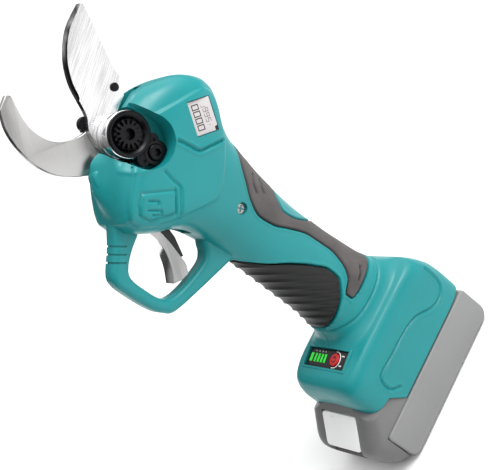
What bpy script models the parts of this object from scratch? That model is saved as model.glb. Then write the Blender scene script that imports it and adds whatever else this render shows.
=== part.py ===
"""Battery electric pruner, standing on its battery with the blades up.

Frame: the origin is the centre of the battery's flat underside, +Z runs up the handle to the
blades, +X is the back of the tool and -X its front, where the trigger and its guard are.
The housing's seam lies in the plane Y = 0. Dimensions are in millimetres until a mesh is made.
"""
import math

import bmesh
import bpy
from mathutils import Matrix, Vector

MM = 0.001
GAP = 0.3                 # clearance between touching pieces
WALL = 5.0                # housing wall

# Blade pivot, drive line and swing
PIVOT = (6.5, 0.0, 282.0)
DRIVE_LEAN = math.radians(4.1)      # the motor leans back into the handle
GEAR_TEETH = 42
PINION_TEETH = 12
SUN_TEETH = 12
BLADE_T = 4.6
BEVEL_WIDTH = 4.2
EDGE_LAND = 0.6
BOLT_R = 5.0

# Trigger
TRIGGER_PIVOT = (-29.0, 0.0, 243.0)
TRIGGER_HALF = 5.5

# Battery
PACK_HALF = 37.5
PACK_BACK = 59.0
TUB_TOP = 28.5
RAIL_HALF = 26.0
NECK_HALF = 22.0
CELL_R = 9.2
CELL_LENGTH = 65.0
CELLS = 5
SPRING_X = -60.5
CONTACT_Y = (-12.0, 12.0)

# Housing sections from the foot to the blades: z, front x, back x, half width, squareness
LEVELS = [
    (30.0, -47.0, 62.5, 37.0, 8.0), (45.0, -49.0, 63.0, 36.8, 8.0),
    (56.0, -49.0, 62.5, 36.6, 7.8), (64.0, -48.0, 60.5, 35.9, 7.2), (70.0, -45.5, 58.0, 34.6, 6.8),
    (74.0, -40.0, 55.8, 32.4, 5.8), (76.0, -25.0, 54.5, 28.4, 3.8), (82.0, -15.5, 51.0, 25.4, 2.9),
    (90.0, -13.5, 46.5, 24.0, 2.6), (100.0, -12.5, 44.0, 22.6, 2.4), (112.0, -11.5, 43.0, 20.8, 2.3),
    (132.0, -11.5, 41.5, 20.0, 2.2), (154.0, -11.5, 41.0, 20.0, 2.2), (176.0, -12.0, 42.0, 20.6, 2.2),
    (192.0, -13.0, 43.0, 22.2, 2.4), (205.0, -14.0, 44.0, 24.6, 2.8), (213.0, -15.5, 44.6, 26.2, 3.1),
    (220.0, -18.5, 45.4, 27.4, 3.4), (227.0, -24.0, 47.0, 28.0, 3.8), (233.0, -30.0, 49.5, 28.4, 4.2),
    (238.0, -34.0, 53.0, 28.5, 4.4), (243.0, -37.5, 57.5, 28.6, 4.6), (249.0, -40.0, 62.0, 28.6, 4.8),
    (255.0, -40.0, 64.5, 28.6, 4.8), (260.0, -37.0, 64.8, 28.6, 4.8), (265.0, -32.4, 63.5, 28.4, 4.6),
    (270.0, -27.2, 61.0, 27.8, 4.4), (275.0, -21.4, 57.2, 26.8, 4.2), (280.0, -14.6, 51.5, 25.0, 3.9),
    (286.0, -6.0, 42.0, 21.0, 3.5), (290.0, 0.0, 33.0, 17.0, 3.2),
]
HEAD_TOP = LEVELS[-1][0]

# Half width of each grip, as an angle round the handle from its middle line: z, degrees
FRONT_GRIP = [(93.0, 14), (95.0, 38), (98.0, 58), (102.0, 76), (110.0, 91), (119.0, 93), (130.0, 87),
              (145.0, 70), (158.0, 46), (168.0, 26), (174.0, 9)]
REAR_GRIP = [(92.5, 88), (95.0, 99), (99.0, 99), (104.0, 84), (112.0, 71), (126.0, 61), (143.0, 63),
             (158.0, 75), (170.0, 86), (182.0, 89), (193.0, 83), (203.0, 72), (212.0, 58), (219.0, 34),
             (223.0, 10)]
REAR_WINDOW = [(140.0, 10), (144.0, 25), (151.0, 42), (159.0, 53), (167.0, 57), (174.0, 44), (178.0, 24)]
GRIP_DEPTH = 1.7
GRIP_SEAT = 3.0           # depth of the recess that a grip lies in
GRIP_GAP = 1.4

# Where the housing screws cross the seam: x, z, and the side that their heads are on
HOUSING_SCREWS = [(12.5, 196.0, -1), (53.5, 263.5, 1), (-20.0, 257.0, 1), (3.0, 84.0, 1),
                  (-34.0, 60.0, 1), (47.0, 62.0, 1)]

TEAL = ("teal_plastic", (0.010, 0.215, 0.225), 0.0, 0.38)
GRIP = ("grip_rubber", (0.055, 0.050, 0.050), 0.0, 0.75)
BLACK = ("black_plastic", (0.012, 0.012, 0.013), 0.0, 0.45)
STEEL = ("blade_steel", (0.66, 0.66, 0.67), 1.0, 0.28)
CHROME = ("chrome", (0.82, 0.82, 0.83), 1.0, 0.08)
BLACK_STEEL = ("black_steel", (0.030, 0.030, 0.032), 0.7, 0.40)
LIGHT_GREY = ("light_grey_plastic", (0.36, 0.36, 0.36), 0.0, 0.45)
DARK_GREY = ("dark_grey_plastic", (0.21, 0.21, 0.21), 0.0, 0.45)
WHITE = ("white_plastic", (0.80, 0.80, 0.80), 0.0, 0.35)
SCREEN = ("display_glass", (0.62, 0.62, 0.60), 0.0, 0.10)
GREEN = ("led_green", (0.02, 0.70, 0.05), 0.0, 0.30)
RED = ("red_plastic", (0.60, 0.02, 0.02), 0.0, 0.30)
BOARD = ("circuit_board", (0.02, 0.14, 0.06), 0.0, 0.50)
CELL = ("cell_sleeve", (0.05, 0.20, 0.45), 0.0, 0.40)
COPPER = ("copper", (0.72, 0.36, 0.20), 1.0, 0.35)


# ---------------------------------------------------------------- building blocks

def clear_scene():
    for item in list(bpy.data.objects):
        bpy.data.objects.remove(item, do_unlink=True)


def material(spec):
    """A Principled material from its name, colour, metallic value and roughness."""
    name, colour, metallic, roughness = spec
    found = bpy.data.materials.get(name)
    if found:
        return found
    made = bpy.data.materials.new(name)
    made.use_nodes = True
    shader = made.node_tree.nodes["Principled BSDF"]
    shader.inputs["Base Color"].default_value = (*colour, 1.0)
    shader.inputs["Metallic"].default_value = metallic
    shader.inputs["Roughness"].default_value = roughness
    return made


def solid(name, points, faces, look, smooth=True):
    """A closed object from points in millimetres, with its faces turned outwards."""
    mesh = bpy.data.meshes.new(name)
    mesh.from_pydata([Vector(p) * MM for p in points], [], faces)
    work = bmesh.new()
    work.from_mesh(mesh)
    bmesh.ops.recalc_face_normals(work, faces=work.faces)
    bmesh.ops.connect_verts_nonplanar(work, angle_limit=0.002, faces=work.faces)
    work.to_mesh(mesh)
    work.free()
    made = bpy.data.objects.new(name, mesh)
    mesh.materials.append(material(look))
    if smooth:
        mesh.shade_smooth()
        mesh.set_sharp_from_angle(angle=math.radians(35))
    bpy.context.collection.objects.link(made)
    return made


def loft(name, rings, look, closed=False):
    """Skin a list of equal rings; the ends are capped unless the loft closes on itself."""
    count = len(rings[0])
    points = [p for ring in rings for p in ring]
    faces = []
    spans = len(rings) if closed else len(rings) - 1
    for i in range(spans):
        a = i * count
        b = ((i + 1) % len(rings)) * count
        for j in range(count):
            k = (j + 1) % count
            faces.append((a + j, a + k, b + k, b + j))
    if not closed:
        faces.append(tuple(range(count)))
        faces.append(tuple(range(len(points) - count, len(points))))
    return solid(name, points, faces, look)


def prism(name, outline, y0, y1, look):
    """Extrude an outline of (x, z) points from y0 to y1."""
    return loft(name, [[(x, y, z) for x, z in outline] for y in (y0, y1)], look)


def block(name, low, high, look):
    outline = [(low[0], low[2]), (high[0], low[2]), (high[0], high[2]), (low[0], high[2])]
    return prism(name, outline, low[1], high[1], look)


def frame_for(axis):
    """Two directions square to an axis."""
    axis = Vector(axis).normalized()
    side = Vector((0, 1, 0)) if abs(axis.y) < 0.9 else Vector((1, 0, 0))
    first = (side - axis * side.dot(axis)).normalized()
    return first, axis.cross(first), axis


def turned(name, profile, centre, axis, look, steps=20):
    """Spin a profile of (radius, distance along the axis); a first radius of 0 means no bore."""
    first, second, along = frame_for(axis)
    centre = Vector(centre)
    if profile[0][0] > 0:
        rings = []
        for i in range(steps):
            a = 2 * math.pi * i / steps
            out = first * math.cos(a) + second * math.sin(a)
            rings.append([centre + out * r + along * s for r, s in profile])
        return loft(name, rings, look, closed=True)
    rings = []
    for r, s in profile[1:-1]:
        rings.append([centre + along * s + (first * math.cos(2 * math.pi * i / steps)
                                            + second * math.sin(2 * math.pi * i / steps)) * r
                      for i in range(steps)])
    return loft(name, rings, look)


def rod(name, centre, axis, radius, s0, s1, look, steps=16):
    return turned(name, [(0, s0), (radius, s0), (radius, s1), (0, s1)], centre, axis, look, steps)


def tube(name, centre, axis, bore, radius, s0, s1, look, steps=20):
    return turned(name, [(bore, s0), (radius, s0), (radius, s1), (bore, s1)], centre, axis, look, steps)


def gear(name, teeth, root, tip, centre, axis, s0, s1, look, taper=1.0):
    """A toothed wheel; taper is the ratio of its radius at s0 to that at s1."""
    first, second, along = frame_for(axis)
    count = teeth * 2
    rings = []
    for s, scale in ((s0, taper), (s1, 1.0)):
        ring = []
        for i in range(count):
            a = 2 * math.pi * i / count
            r = (root if i % 2 else tip) * scale
            ring.append(Vector(centre) + along * s + (first * math.cos(a) + second * math.sin(a)) * r)
        rings.append(ring)
    return loft(name, rings, look)


def smooth_line(points, steps=5):
    """A Catmull-Rom curve through the points, for outlines that bend."""
    line = []
    last = len(points) - 1
    for i in range(last):
        p = [Vector(points[max(0, min(last, i + k))]) for k in (-1, 0, 1, 2)]
        for j in range(steps):
            t = j / steps
            line.append(tuple(0.5 * (2 * p[1] + (p[2] - p[0]) * t
                                     + (2 * p[0] - 5 * p[1] + 4 * p[2] - p[3]) * t ** 2
                                     + (3 * p[1] - p[0] - 3 * p[2] + p[3]) * t ** 3)))
    line.append(tuple(points[-1]))
    return line


def arc(cx, cz, radius, start, stop, steps):
    """Points (x, z) on a circle between two angles in degrees."""
    line = []
    for i in range(steps + 1):
        a = math.radians(start + (stop - start) * i / steps)
        line.append((cx + radius * math.cos(a), cz + radius * math.sin(a)))
    return line


def bake(item):
    """Replace an object's mesh by its evaluated one and drop the modifiers."""
    graph = bpy.context.evaluated_depsgraph_get()
    item.data = bpy.data.meshes.new_from_object(item.evaluated_get(graph))
    item.modifiers.clear()


def weld(item):
    """Close the hairline slivers that a boolean can leave."""
    work = bmesh.new()
    work.from_mesh(item.data)
    bmesh.ops.remove_doubles(work, verts=work.verts, dist=0.002 * MM)
    bmesh.ops.dissolve_degenerate(work, edges=work.edges, dist=0.001 * MM)
    work.to_mesh(item.data)
    work.free()


def combine(item, tool, operation):
    """Exact boolean of two objects; the tool is used up."""
    step = item.modifiers.new(operation.lower(), "BOOLEAN")
    step.operation = operation
    step.solver = "EXACT"
    step.object = tool
    bake(item)
    bpy.data.objects.remove(tool, do_unlink=True)
    weld(item)


def join(item, *tools):
    for tool in tools:
        combine(item, tool, "UNION")


def cut(item, *tools):
    for tool in tools:
        combine(item, tool, "DIFFERENCE")


def keep(item, tool):
    combine(item, tool, "INTERSECT")


def bevel(item, width, segments=1, angle=40):
    step = item.modifiers.new("bevel", "BEVEL")
    step.width = width * MM
    step.segments = segments
    step.limit_method = "ANGLE"
    step.angle_limit = math.radians(angle)
    bake(item)


def origin_at(item, point):
    """Put an object's origin on a point, such as one on its joint's axis."""
    shift = Vector(point) * MM
    item.data.transform(Matrix.Translation(-shift))
    item.location = shift


# ---------------------------------------------------------------- the housing's surface

def between(table, z):
    """Values of a table at height z, eased between its rows."""
    if z <= table[0][0]:
        return table[0][1:]
    for low, high in zip(table, table[1:]):
        if z <= high[0]:
            t = (z - low[0]) / (high[0] - low[0])
            return tuple(a + (b - a) * t for a, b in zip(low[1:], high[1:]))
    return table[-1][1:]


def section_point(z, angle, offset=0.0):
    """The point of the housing at height z and an angle from the back, moved out by offset."""
    front, back, half, power = between(LEVELS, z)
    rx = (back - front) / 2 + offset
    ry = half + offset
    c = math.cos(angle)
    s = math.sin(angle)
    x = (front + back) / 2 + math.copysign(abs(c) ** (2 / power), c) * rx
    y = math.copysign(abs(s) ** (2 / power), s) * ry
    return (x, y, z)


def housing_body(name, offset, low, high, steps=24, every=1):
    """The outer form of the housing, or its hollow when the offset is negative."""
    heights = [low] + [row[0] for row in LEVELS[::every] if low < row[0] < high] + [high]
    rings = [[section_point(z, 2 * math.pi * (i + 0.5) / steps, offset) for i in range(steps)]
             for z in heights]
    return loft(name, rings, TEAL)


def grip_patch(name, table, middle, inner, outer, margin, look, steps=8):
    """A curved pad on the handle; middle is the angle of its centre line."""
    heights = [row[0] for row in table]
    heights[0] -= margin
    heights[-1] += margin
    shells = []
    for offset in (inner, outer):
        rows = []
        for z in heights:
            half = math.radians(between(table, z)[0]) + margin / 22.0
            rows.append([section_point(z, middle - half + 2 * half * j / steps, offset)
                         for j in range(steps + 1)])
        shells.append(rows)
    points = [p for rows in shells for row in rows for p in row]
    wide = steps + 1
    tall = len(heights)
    size = wide * tall
    faces = []
    for i in range(tall - 1):
        for j in range(steps):
            a = i * wide + j
            faces.append((a, a + 1, a + wide + 1, a + wide))
            faces.append((size + a, size + a + wide, size + a + wide + 1, size + a + 1))
    rim = [j for j in range(steps)]
    for j in rim:
        top = (tall - 1) * wide + j
        faces.append((j, size + j, size + j + 1, j + 1))
        faces.append((top, top + 1, size + top + 1, size + top))
    for i in range(tall - 1):
        a = i * wide
        b = a + steps
        faces.append((a, a + wide, size + a + wide, size + a))
        faces.append((b, size + b, size + b + wide, b + wide))
    return solid(name, points, faces, look)


def grip_shape(name, table, middle, inner, outer, margin, look, window=None):
    pad = grip_patch(name, table, middle, inner, outer, margin, look)
    if window:
        hole = grip_patch("window", window, middle, inner - 2, outer + 2, -margin, look)
        cut(pad, hole)
    return pad


# ---------------------------------------------------------------- housing

GUARD_OUTER = [(-28, 266), (-40, 258), (-52, 250), (-66, 242.5), (-70.5, 237), (-71, 226), (-69.5, 207),
               (-66.5, 196.5), (-61.5, 191.5), (-40, 184.5), (-10, 175.5), (-2, 178)]
GUARD_INNER = [(-4, 204), (-14, 201), (-17.5, 194), (-26, 192.6), (-42, 195.2), (-54, 199.2),
               (-59.5, 205), (-60.5, 216), (-60, 227), (-54, 233.5), (-42, 237.5), (-24, 240)]


GUARD_HALF = 7.5


def guard_body():
    body = prism("guard", GUARD_OUTER + GUARD_INNER, -GUARD_HALF, GUARD_HALF, TEAL)
    bevel(body, 2.6, 2)
    return body


def nose_cut(name, grow):
    """The space at the front of the foot that the battery's nose fills."""
    outline = [(-90, -5), (-25.5 + grow, -5), (-25.5 + grow, 29.5), (-34.5 + grow, 44.5),
               (-40, 53.5 + grow), (-90, 53.5 + grow)]
    body = prism(name, outline, -45, 45, TEAL)
    arch = [(-46, 80)]
    arch += [(y, 53.5 + grow - 8.5 * (y / 32) ** 2) for y in range(-44, 45, 8)]
    arch.append((46, 80))
    roof = loft("arch", [[(x, y, z) for y, z in arch] for x in (-100, 0)], TEAL)
    cut(body, roof)
    return body


def rail_space(name, grow):
    """The T-shaped channel in the foot that the battery's rails slide in."""
    shapes = [(NECK_HALF, 20.0, 36.0), (RAIL_HALF, 34.7, 44.2)]
    parts = [block(name, (-90, -half - grow, low - grow), (54.5 + grow, half + grow, high + grow), TEAL)
             for half, low, high in shapes]
    join(parts[0], parts[1])
    return parts[0]


def pocket_outline(radius):
    """The upright slot round the pivot nut and its lock plate."""
    return (arc(8, 272.5, radius, 180, 360, 10) + arc(7, 288, radius, 0, 180, 8))


def make_shell(name, side):
    """One half of the housing; side is -1 for the left half and 1 for the right."""
    body = housing_body(name, 0.0, LEVELS[0][0], HEAD_TOP)
    join(body, guard_body())
    near, far = sorted((side * GAP / 2, side * 120))
    keep(body, block("half", (-120, near, -20), (120, far, 400), TEAL))
    hollow = housing_body("hollow", -WALL, 50.0, HEAD_TOP - WALL, 16, 2)
    cut(hollow, prism("wall", pocket_outline(19.5), -50, -10.5, TEAL))
    cut(body, hollow)
    for x, z, head_side in HOUSING_SCREWS:
        half = screw_face(x, z)
        post_near, post_far = sorted((side * GAP / 2, side * post_end(x, z)))
        join(body, rod("post", (x, 0, z), (0, 1, 0), 5.5, post_near, post_far, TEAL, 12))
        cut(body, rod("bore", (x, 0, z), (0, head_side, 0), 1.9, -half + 4.6, half + 5, TEAL, 10))
        cut(body, rod("seat", (x, 0, z), (0, head_side, 0), 4.0, half - 3.2, half + 8, TEAL, 12))
    cut(body, nose_cut("nose_space", 0.0), rail_space("rails", GAP))
    for y in CONTACT_Y:
        cut(body, block("contact_slot", (22, y - 1.4, 43), (48, y + 1.4, 52), TEAL))
    if side < 0:
        cut(body, prism("pocket", pocket_outline(17.0), -50, -13, TEAL))
        cut(body, rod("eye", PIVOT, (0, 1, 0), 17.0, -40, -2, TEAL, 20))
        cut(body, display_block("display_space", GAP, 2.6, 6.0), display_block("display_lead", -3, 9.0, 0))
    else:
        cut(body, rod("eye", PIVOT, (0, 1, 0), 15.2, 2, 40, TEAL, 20))
    cut(body, block("mouth", (-33, -5.6, 262), (41, 5.6, 300), TEAL))
    cut(body, trigger_slot(), rod("spring_room", TRIGGER_PIVOT, (0, 1, 0), 6.4, -12.5, 12.5, TEAL, 16))
    cut(body, panel_block("panel_space", GAP, -2.0, 3.0), panel_block("panel_lead", -2.0, -9.0, 0.0))
    place = Vector(PANEL) + Vector((0, POWER_Y, 0))
    cut(body, rod("button_room", place, panel_axis(), 5.1, -4.2, 2.0, TEAL, 14))
    for table, middle, window in ((FRONT_GRIP, math.pi, None), (REAR_GRIP, 0.0, REAR_WINDOW)):
        cut(body, grip_shape("grip_space", table, middle, -GRIP_SEAT, 4.0, GRIP_GAP, TEAL, window))
    return body


def trigger_slot():
    outline = [(-36.4, 234), (-36.4, 249), (-18, 252), (-8, 240), (-8, 214), (-20, 206), (-36.4, 222)]
    half = TRIGGER_HALF + 0.8
    return prism("slot", outline, -half, half, TEAL)


def screw_face(x, z):
    """Distance from the seam to the outside of the housing."""
    front, back, half, power = between(LEVELS, z)
    across = abs(2 * x - front - back) / (back - front)
    return half * (1 - across ** power) ** (1 / power)


def post_end(x, z):
    """How far a screw post can reach without coming through the outside."""
    return min(screw_face(x + dx, z + dz) for dx in (-5.5, 0, 5.5) for dz in (-5.5, 0, 5.5)) - 0.8


def make_housing_screws():
    for number, (x, z, side) in enumerate(HOUSING_SCREWS, 1):
        half = screw_face(x, z)
        head = half - 3.2 + GAP
        tip = -half + 5.6
        profile = [(0, tip), (1.5, tip), (1.5, head), (3.6, head), (3.6, head + 2.0), (0, head + 2.0)]
        screw = turned("housing_screw_%d" % number, profile, (x, 0, z), (0, side, 0), BLACK_STEEL, 10)
        origin_at(screw, (x, 0, z))


def make_grips():
    grip_shape("front_grip", FRONT_GRIP, math.pi, -GRIP_DEPTH, 0.4, 0.0, BLACK)
    grip_shape("rear_grip", REAR_GRIP, 0.0, -GRIP_DEPTH, 0.4, 0.0, GRIP, REAR_WINDOW)


# ---------------------------------------------------------------- display and power panel

DISPLAY = ((41.2, -28.0, 251.5), 52.8)          # centre and slope of its long side
DISPLAY_SIZE = (21.0, 16.0)
PANEL = (-26.5, 0.0, 74.6)
PANEL_SIZE = (13.0, 44.0)
PANEL_SLOPE = math.radians(8)
POWER_Y = -8.5


def placed_block(name, low, high, centre, turn, look):
    """A block in its own axes, turned and then moved to its centre."""
    made = block(name, low, high, look)
    made.data.transform(Matrix.Translation(Vector(centre) * MM) @ turn)
    return made


def display_block(name, grow, depth, height, look=TEAL, size=DISPLAY_SIZE):
    """A block in the display's axes, from depth below the surface to height above it."""
    centre, slope = DISPLAY
    turn = Matrix.Rotation(math.radians(3.0), 4, "Z") @ Matrix.Rotation(-math.radians(slope), 4, "Y")
    a = size[0] / 2 + grow
    b = size[1] / 2 + grow
    return placed_block(name, (-a, -height, -b), (a, depth, b), centre, turn, look)


def panel_block(name, grow, low, high, look=TEAL, size=PANEL_SIZE, along=0.0):
    """A block in the power panel's axes, with z measured from the panel's face."""
    turn = Matrix.Rotation(-PANEL_SLOPE, 4, "Y")
    a = size[0] / 2 + grow
    b = size[1] / 2 + grow
    return placed_block(name, (-a, along - b, low), (a, along + b, high), PANEL, turn, look)


def panel_axis():
    turn = Matrix.Rotation(-PANEL_SLOPE, 3, "Y")
    return turn @ Vector((0, 0, 1))


def make_display():
    display_block("display_screen", 0.0, 1.9, 0.2, SCREEN)
    display_block("display_board", -3.4, 4.6, -2.9, BOARD)


def make_power_panel():
    face = panel_block("power_panel", 0.0, -1.6, 0.0, BLACK)
    axis = panel_axis()
    place = Vector(PANEL) + Vector((0, POWER_Y, 0))
    cut(face, rod("button_hole", place, axis, 4.9, -5, 5, BLACK, 20))
    bars = [(18.2, 3.0), (13.6, 2.0), (10.0, 2.0), (6.4, 2.0), (2.8, 2.0)]
    guide = panel_block("charge_lights", 0.0, -3.4, -2.0, GREEN, (7.6, 18.6), 10.4)
    for y, wide in bars:
        cut(face, panel_block("slot", GAP, -9.0, 2.0, BLACK, (6.4, wide), y))
        join(guide, panel_block("bar", 0.0, -2.4, 0.15, GREEN, (6.4, wide), y))
    profile = [(0, -2.4), (3.0, -2.4), (3.0, -1.4), (4.6, -1.4), (4.6, 0.9), (4.0, 1.3), (0, 1.3)]
    button = turned("power_button", profile, place, axis, RED, 20)
    origin_at(button, place)
    panel_block("panel_board", 0.0, -7.2, -5.4, BOARD, (6.5, 36.0))
    rod("power_switch", place, axis, 1.9, -5.1, -3.7, BLACK, 10)


# ---------------------------------------------------------------- blades and pivot

def cutting_rings():
    """The moving blade: hooked edge with a ground bevel, tip, spine and round heel."""
    px, _, pz = PIVOT
    edge = smooth_line([(9.6, 314), (15, 324), (25, 334.2), (40, 342.2), (57, 344.8)], 4)
    spine = smooth_line([(58.2, 342.6), (50.5, 328), (42, 313), (37.5, 303), (36.2, 296.2)], 2)
    heel = arc(px, pz, 14.2, 36, -200, 16)
    neck = smooth_line([heel[-1], (-2.0, 298.2), (4.8, 304.6), (9.6, 314)], 2)
    rest = spine + [(29, 292.4)] + heel + neck[1:-1]
    ground = []
    for i, point in enumerate(edge):
        along = (Vector(edge[min(i + 1, len(edge) - 1)]) - Vector(edge[max(i - 1, 0)])).normalized()
        depth = BEVEL_WIDTH * min(1.0, 0.35 + 0.4 * i, 0.5 + 0.3 * (len(edge) - 1 - i))
        ground.append((point[0] + along[1] * depth, point[1] - along[0] * depth))
    near = -GAP / 2 - BLADE_T
    rings = []
    for y, line in ((-GAP / 2, edge), (-GAP / 2 - EDGE_LAND, edge), (near, ground)):
        rings.append([(x, y, z) for x, z in line + rest])
    return rings


def fixed_outline():
    """The fixed hook blade with its root in the housing."""
    px, _, pz = PIVOT
    outer = smooth_line([(-22, 347.6), (-29.5, 338.6), (-34.4, 326.5), (-36.2, 313), (-33.8, 300),
                         (-27.5, 289),
                         (-24.5, 281), (-24, 270)], 4)
    inner = smooth_line([(4.5, 297.2), (-4.5, 299.6), (-12.5, 304.6), (-18.5, 312), (-20.6, 322),
                         (-18.6, 333), (-11.5, 346.6)], 4)
    return outer + [(-9, 266.5)] + arc(px, pz, 14.6, 245, 450, 18) + inner + [(-13.2, 349.6)]


def make_blades():
    px, _, pz = PIVOT
    moving = loft("moving_blade", cutting_rings(), STEEL)
    cut(moving, rod("bore", PIVOT, (0, 1, 0), BOLT_R + 0.3, -10, 10, STEEL, 20))
    cut(moving, rod("pin_hole", (29.5, 0, 300), (0, 1, 0), 3.0, -10, 10, STEEL, 16))
    origin_at(moving, PIVOT)
    fixed = prism("fixed_blade", fixed_outline(), GAP / 2, GAP / 2 + BLADE_T, STEEL)
    cut(fixed, rod("bore", PIVOT, (0, 1, 0), 10.2, -10, 10, STEEL, 24))
    pin_profile = [(0, -5.6), (2.4, -5.6), (2.7, -5.2), (2.7, -0.35), (0, -0.35)]
    pin = turned("blade_pin", pin_profile, (29.5, 0, 300), (0, 1, 0), BLACK_STEEL, 14)
    origin_at(pin, (29.5, 0, 300))
    stop_line = arc(2.2, 300.9, 4.8, 15, 180, 7)
    stop_line += [(-3.4, 299.8), (3.0, 298.0), (7.2, 298.4)]
    stop = prism("blade_stop", stop_line, 0.5, 4.4, BLACK_STEEL)
    origin_at(stop, (2.2, 2.4, 300.9))


def make_pivot():
    axis = (0, 1, 0)
    bolt = turned("pivot_bolt", [(0, -17.2), (4.3, -17.2), (4.7, -16.6), (4.7, 16.6), (9.0, 16.6),
                                  (9.0, 20.0),
                                 (8.2, 20.8), (0, 20.8)], PIVOT, axis, BLACK_STEEL, 20)
    cut(bolt, rod("socket", PIVOT, axis, 3.4, 17.6, 30, BLACK_STEEL, 6))
    tube("bolt_plate", PIVOT, axis, BOLT_R, 14.4, 13.0, 16.3, CHROME)
    tube("seat_ring", PIVOT, axis, BOLT_R, 14.0, -8.4, -5.1, CHROME)
    tube("spacer_ring", PIVOT, axis, BOLT_R, 12.6, -11.6, -8.7, CHROME)
    turned("nut_cup", [(BOLT_R, -14.6), (12.9, -14.6), (12.9, -20.4), (14.3, -20.4), (14.3, -13.0),
                       (13.4, -11.9), (BOLT_R, -11.9)], PIVOT, axis, CHROME, 24)
    nut = turned("pivot_nut", [(5.0, -14.9), (12.5, -14.9), (12.5, -20.2), (9.6, -20.2), (9.0, -18.6),
                               (5.0, -18.6)], PIVOT, axis, BLACK_STEEL, 24)
    hub = gear("hub", 15, 6.0, 8.4, PIVOT, axis, -20.6, -17.5, BLACK_STEEL)
    cut(hub, rod("hex", PIVOT, axis, 3.3, -30, 0, BLACK_STEEL, 6))
    join(nut, hub)


LOCK = (7.9, 0.0, 261.9)


def make_lock():
    plate = rod("lock_plate", LOCK, (0, 1, 0), 8.6, -16.6, -13.3, BLACK_STEEL, 20)
    join(plate, block("arm", (-4.5, -16.6, 263), (20, -13.3, 274), BLACK_STEEL))
    cut(plate, rod("nut_room", PIVOT, (0, 1, 0), 14.7, -30, 0, BLACK_STEEL, 24))
    cut(plate, rod("screw_room", LOCK, (0, 1, 0), 2.6, -30, 0, BLACK_STEEL, 14))
    cut_away = prism("outside", pocket_outline(16.5), -30, 0, BLACK_STEEL)
    keep(plate, cut_away)
    profile = [(0, -13.3), (2.2, -13.3), (2.2, -16.9), (5.0, -16.9), (5.0, -20.0), (4.4, -20.6), (0, -20.6)]
    screw = turned("lock_screw", profile, LOCK, (0, 1, 0), BLACK_STEEL, 18)
    cut(screw, rod("socket", LOCK, (0, 1, 0), 2.5, -30, -18.2, BLACK_STEEL, 6))
    return plate, screw


# ---------------------------------------------------------------- drive

def drive_axis():
    return Vector((math.sin(DRIVE_LEAN), 0, -math.cos(DRIVE_LEAN)))


def drive_point(distance):
    return Vector(PIVOT) + drive_axis() * distance


def make_drive_gear():
    """Sector of a bevel gear on a hub that passes through the fixed blade to the moving one."""
    px, _, pz = PIVOT
    pitch = 360.0 / GEAR_TEETH
    first = -90 + math.degrees(DRIVE_LEAN) - 7.75 * pitch
    rings = []
    for i in range(10 * 2 + 1):
        a = math.radians(first + pitch * i / 2)
        face = 0.0 if i % 2 else 1.4
        ring = []
        for r, y in ((14.0, 4.9 + face), (24.0, 7.7 + face), (24.6, 12.6), (14.0, 12.6)):
            ring.append((px + r * math.cos(a), y, pz + r * math.sin(a)))
        rings.append(ring)
    sector = loft("drive_gear", rings, BLACK_STEEL)
    web = rod("web", PIVOT, (0, 1, 0), 14.3, 8.2, 12.6, BLACK_STEEL, 20)
    hub = rod("hub", PIVOT, (0, 1, 0), 9.8, 0.15, 12.6, BLACK_STEEL, 16)
    join(sector, web, hub)
    cut(sector, rod("bore", PIVOT, (0, 1, 0), BOLT_R + 0.1, -5, 20, BLACK_STEEL, 16))
    origin_at(sector, PIVOT)
    return sector


def make_drive_train():
    axis = drive_axis()
    pinion = gear("drive_pinion", PINION_TEETH, 5.4, 6.5, PIVOT, axis, 16.8, 24.6, STEEL, 16.8 / 24.6)
    join(pinion, rod("shaft", PIVOT, axis, 3.4, 22.0, 34.0, STEEL, 14))
    join(pinion, rod("carrier", PIVOT, axis, 11.6, 33.0, 35.6, STEEL, 20))
    origin_at(pinion, drive_point(24.6))
    tube("pinion_bearing", PIVOT, axis, 3.7, 9.0, 26.6, 30.6, CHROME, 20)
    for number in range(3):
        spot = planet_spot(number)
        join(pinion, rod("pin", spot, axis, 1.4, 34.0, 41.6, STEEL, 8))
        wheel = gear("planet_gear_%d" % (number + 1), SUN_TEETH, 3.5, 4.3, spot, axis, 36.0, 41.4, STEEL)
        cut(wheel, rod("bore", spot, axis, 1.75, 30, 50, STEEL, 8))
        origin_at(wheel, spot + axis * 38)
    ring = tube("gearbox_ring", PIVOT, axis, 13.6, 15.6, 32.6, 43.4, BLACK_STEEL)
    tube("gearbox_cover", PIVOT, axis, 5.6, 15.6, 43.7, 45.4, BLACK_STEEL)
    can = turned("motor_can", [(12.4, 45.7), (14.4, 45.7), (14.4, 76.6), (12.4, 76.6)], PIVOT, axis, BLACK)
    rotor = rod("motor_rotor", PIVOT, axis, 2.0, 42.2, 80.6, STEEL, 10)
    join(rotor, gear("sun", SUN_TEETH, 3.3, 4.1, PIVOT, axis, 36.2, 42.6, STEEL))
    join(rotor, rod("core", PIVOT, axis, 10.6, 50.0, 72.0, COPPER, 12))
    origin_at(rotor, drive_point(60))
    cap_line = [(4.2, 76.9), (14.4, 76.9), (14.4, 79.2), (4.2, 79.2)]
    end = turned("motor_end_cap", cap_line, PIVOT, axis, BLACK)
    tube("motor_bearing", PIVOT, axis, 2.3, 3.9, 77.0, 79.4, CHROME, 14)
    return pinion, ring, can, end


def planet_spot(number):
    first, second, _ = frame_for(drive_axis())
    a = 2 * math.pi * number / 3
    return Vector(PIVOT) + (first * math.cos(a) + second * math.sin(a)) * 8.8


# ---------------------------------------------------------------- trigger

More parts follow.
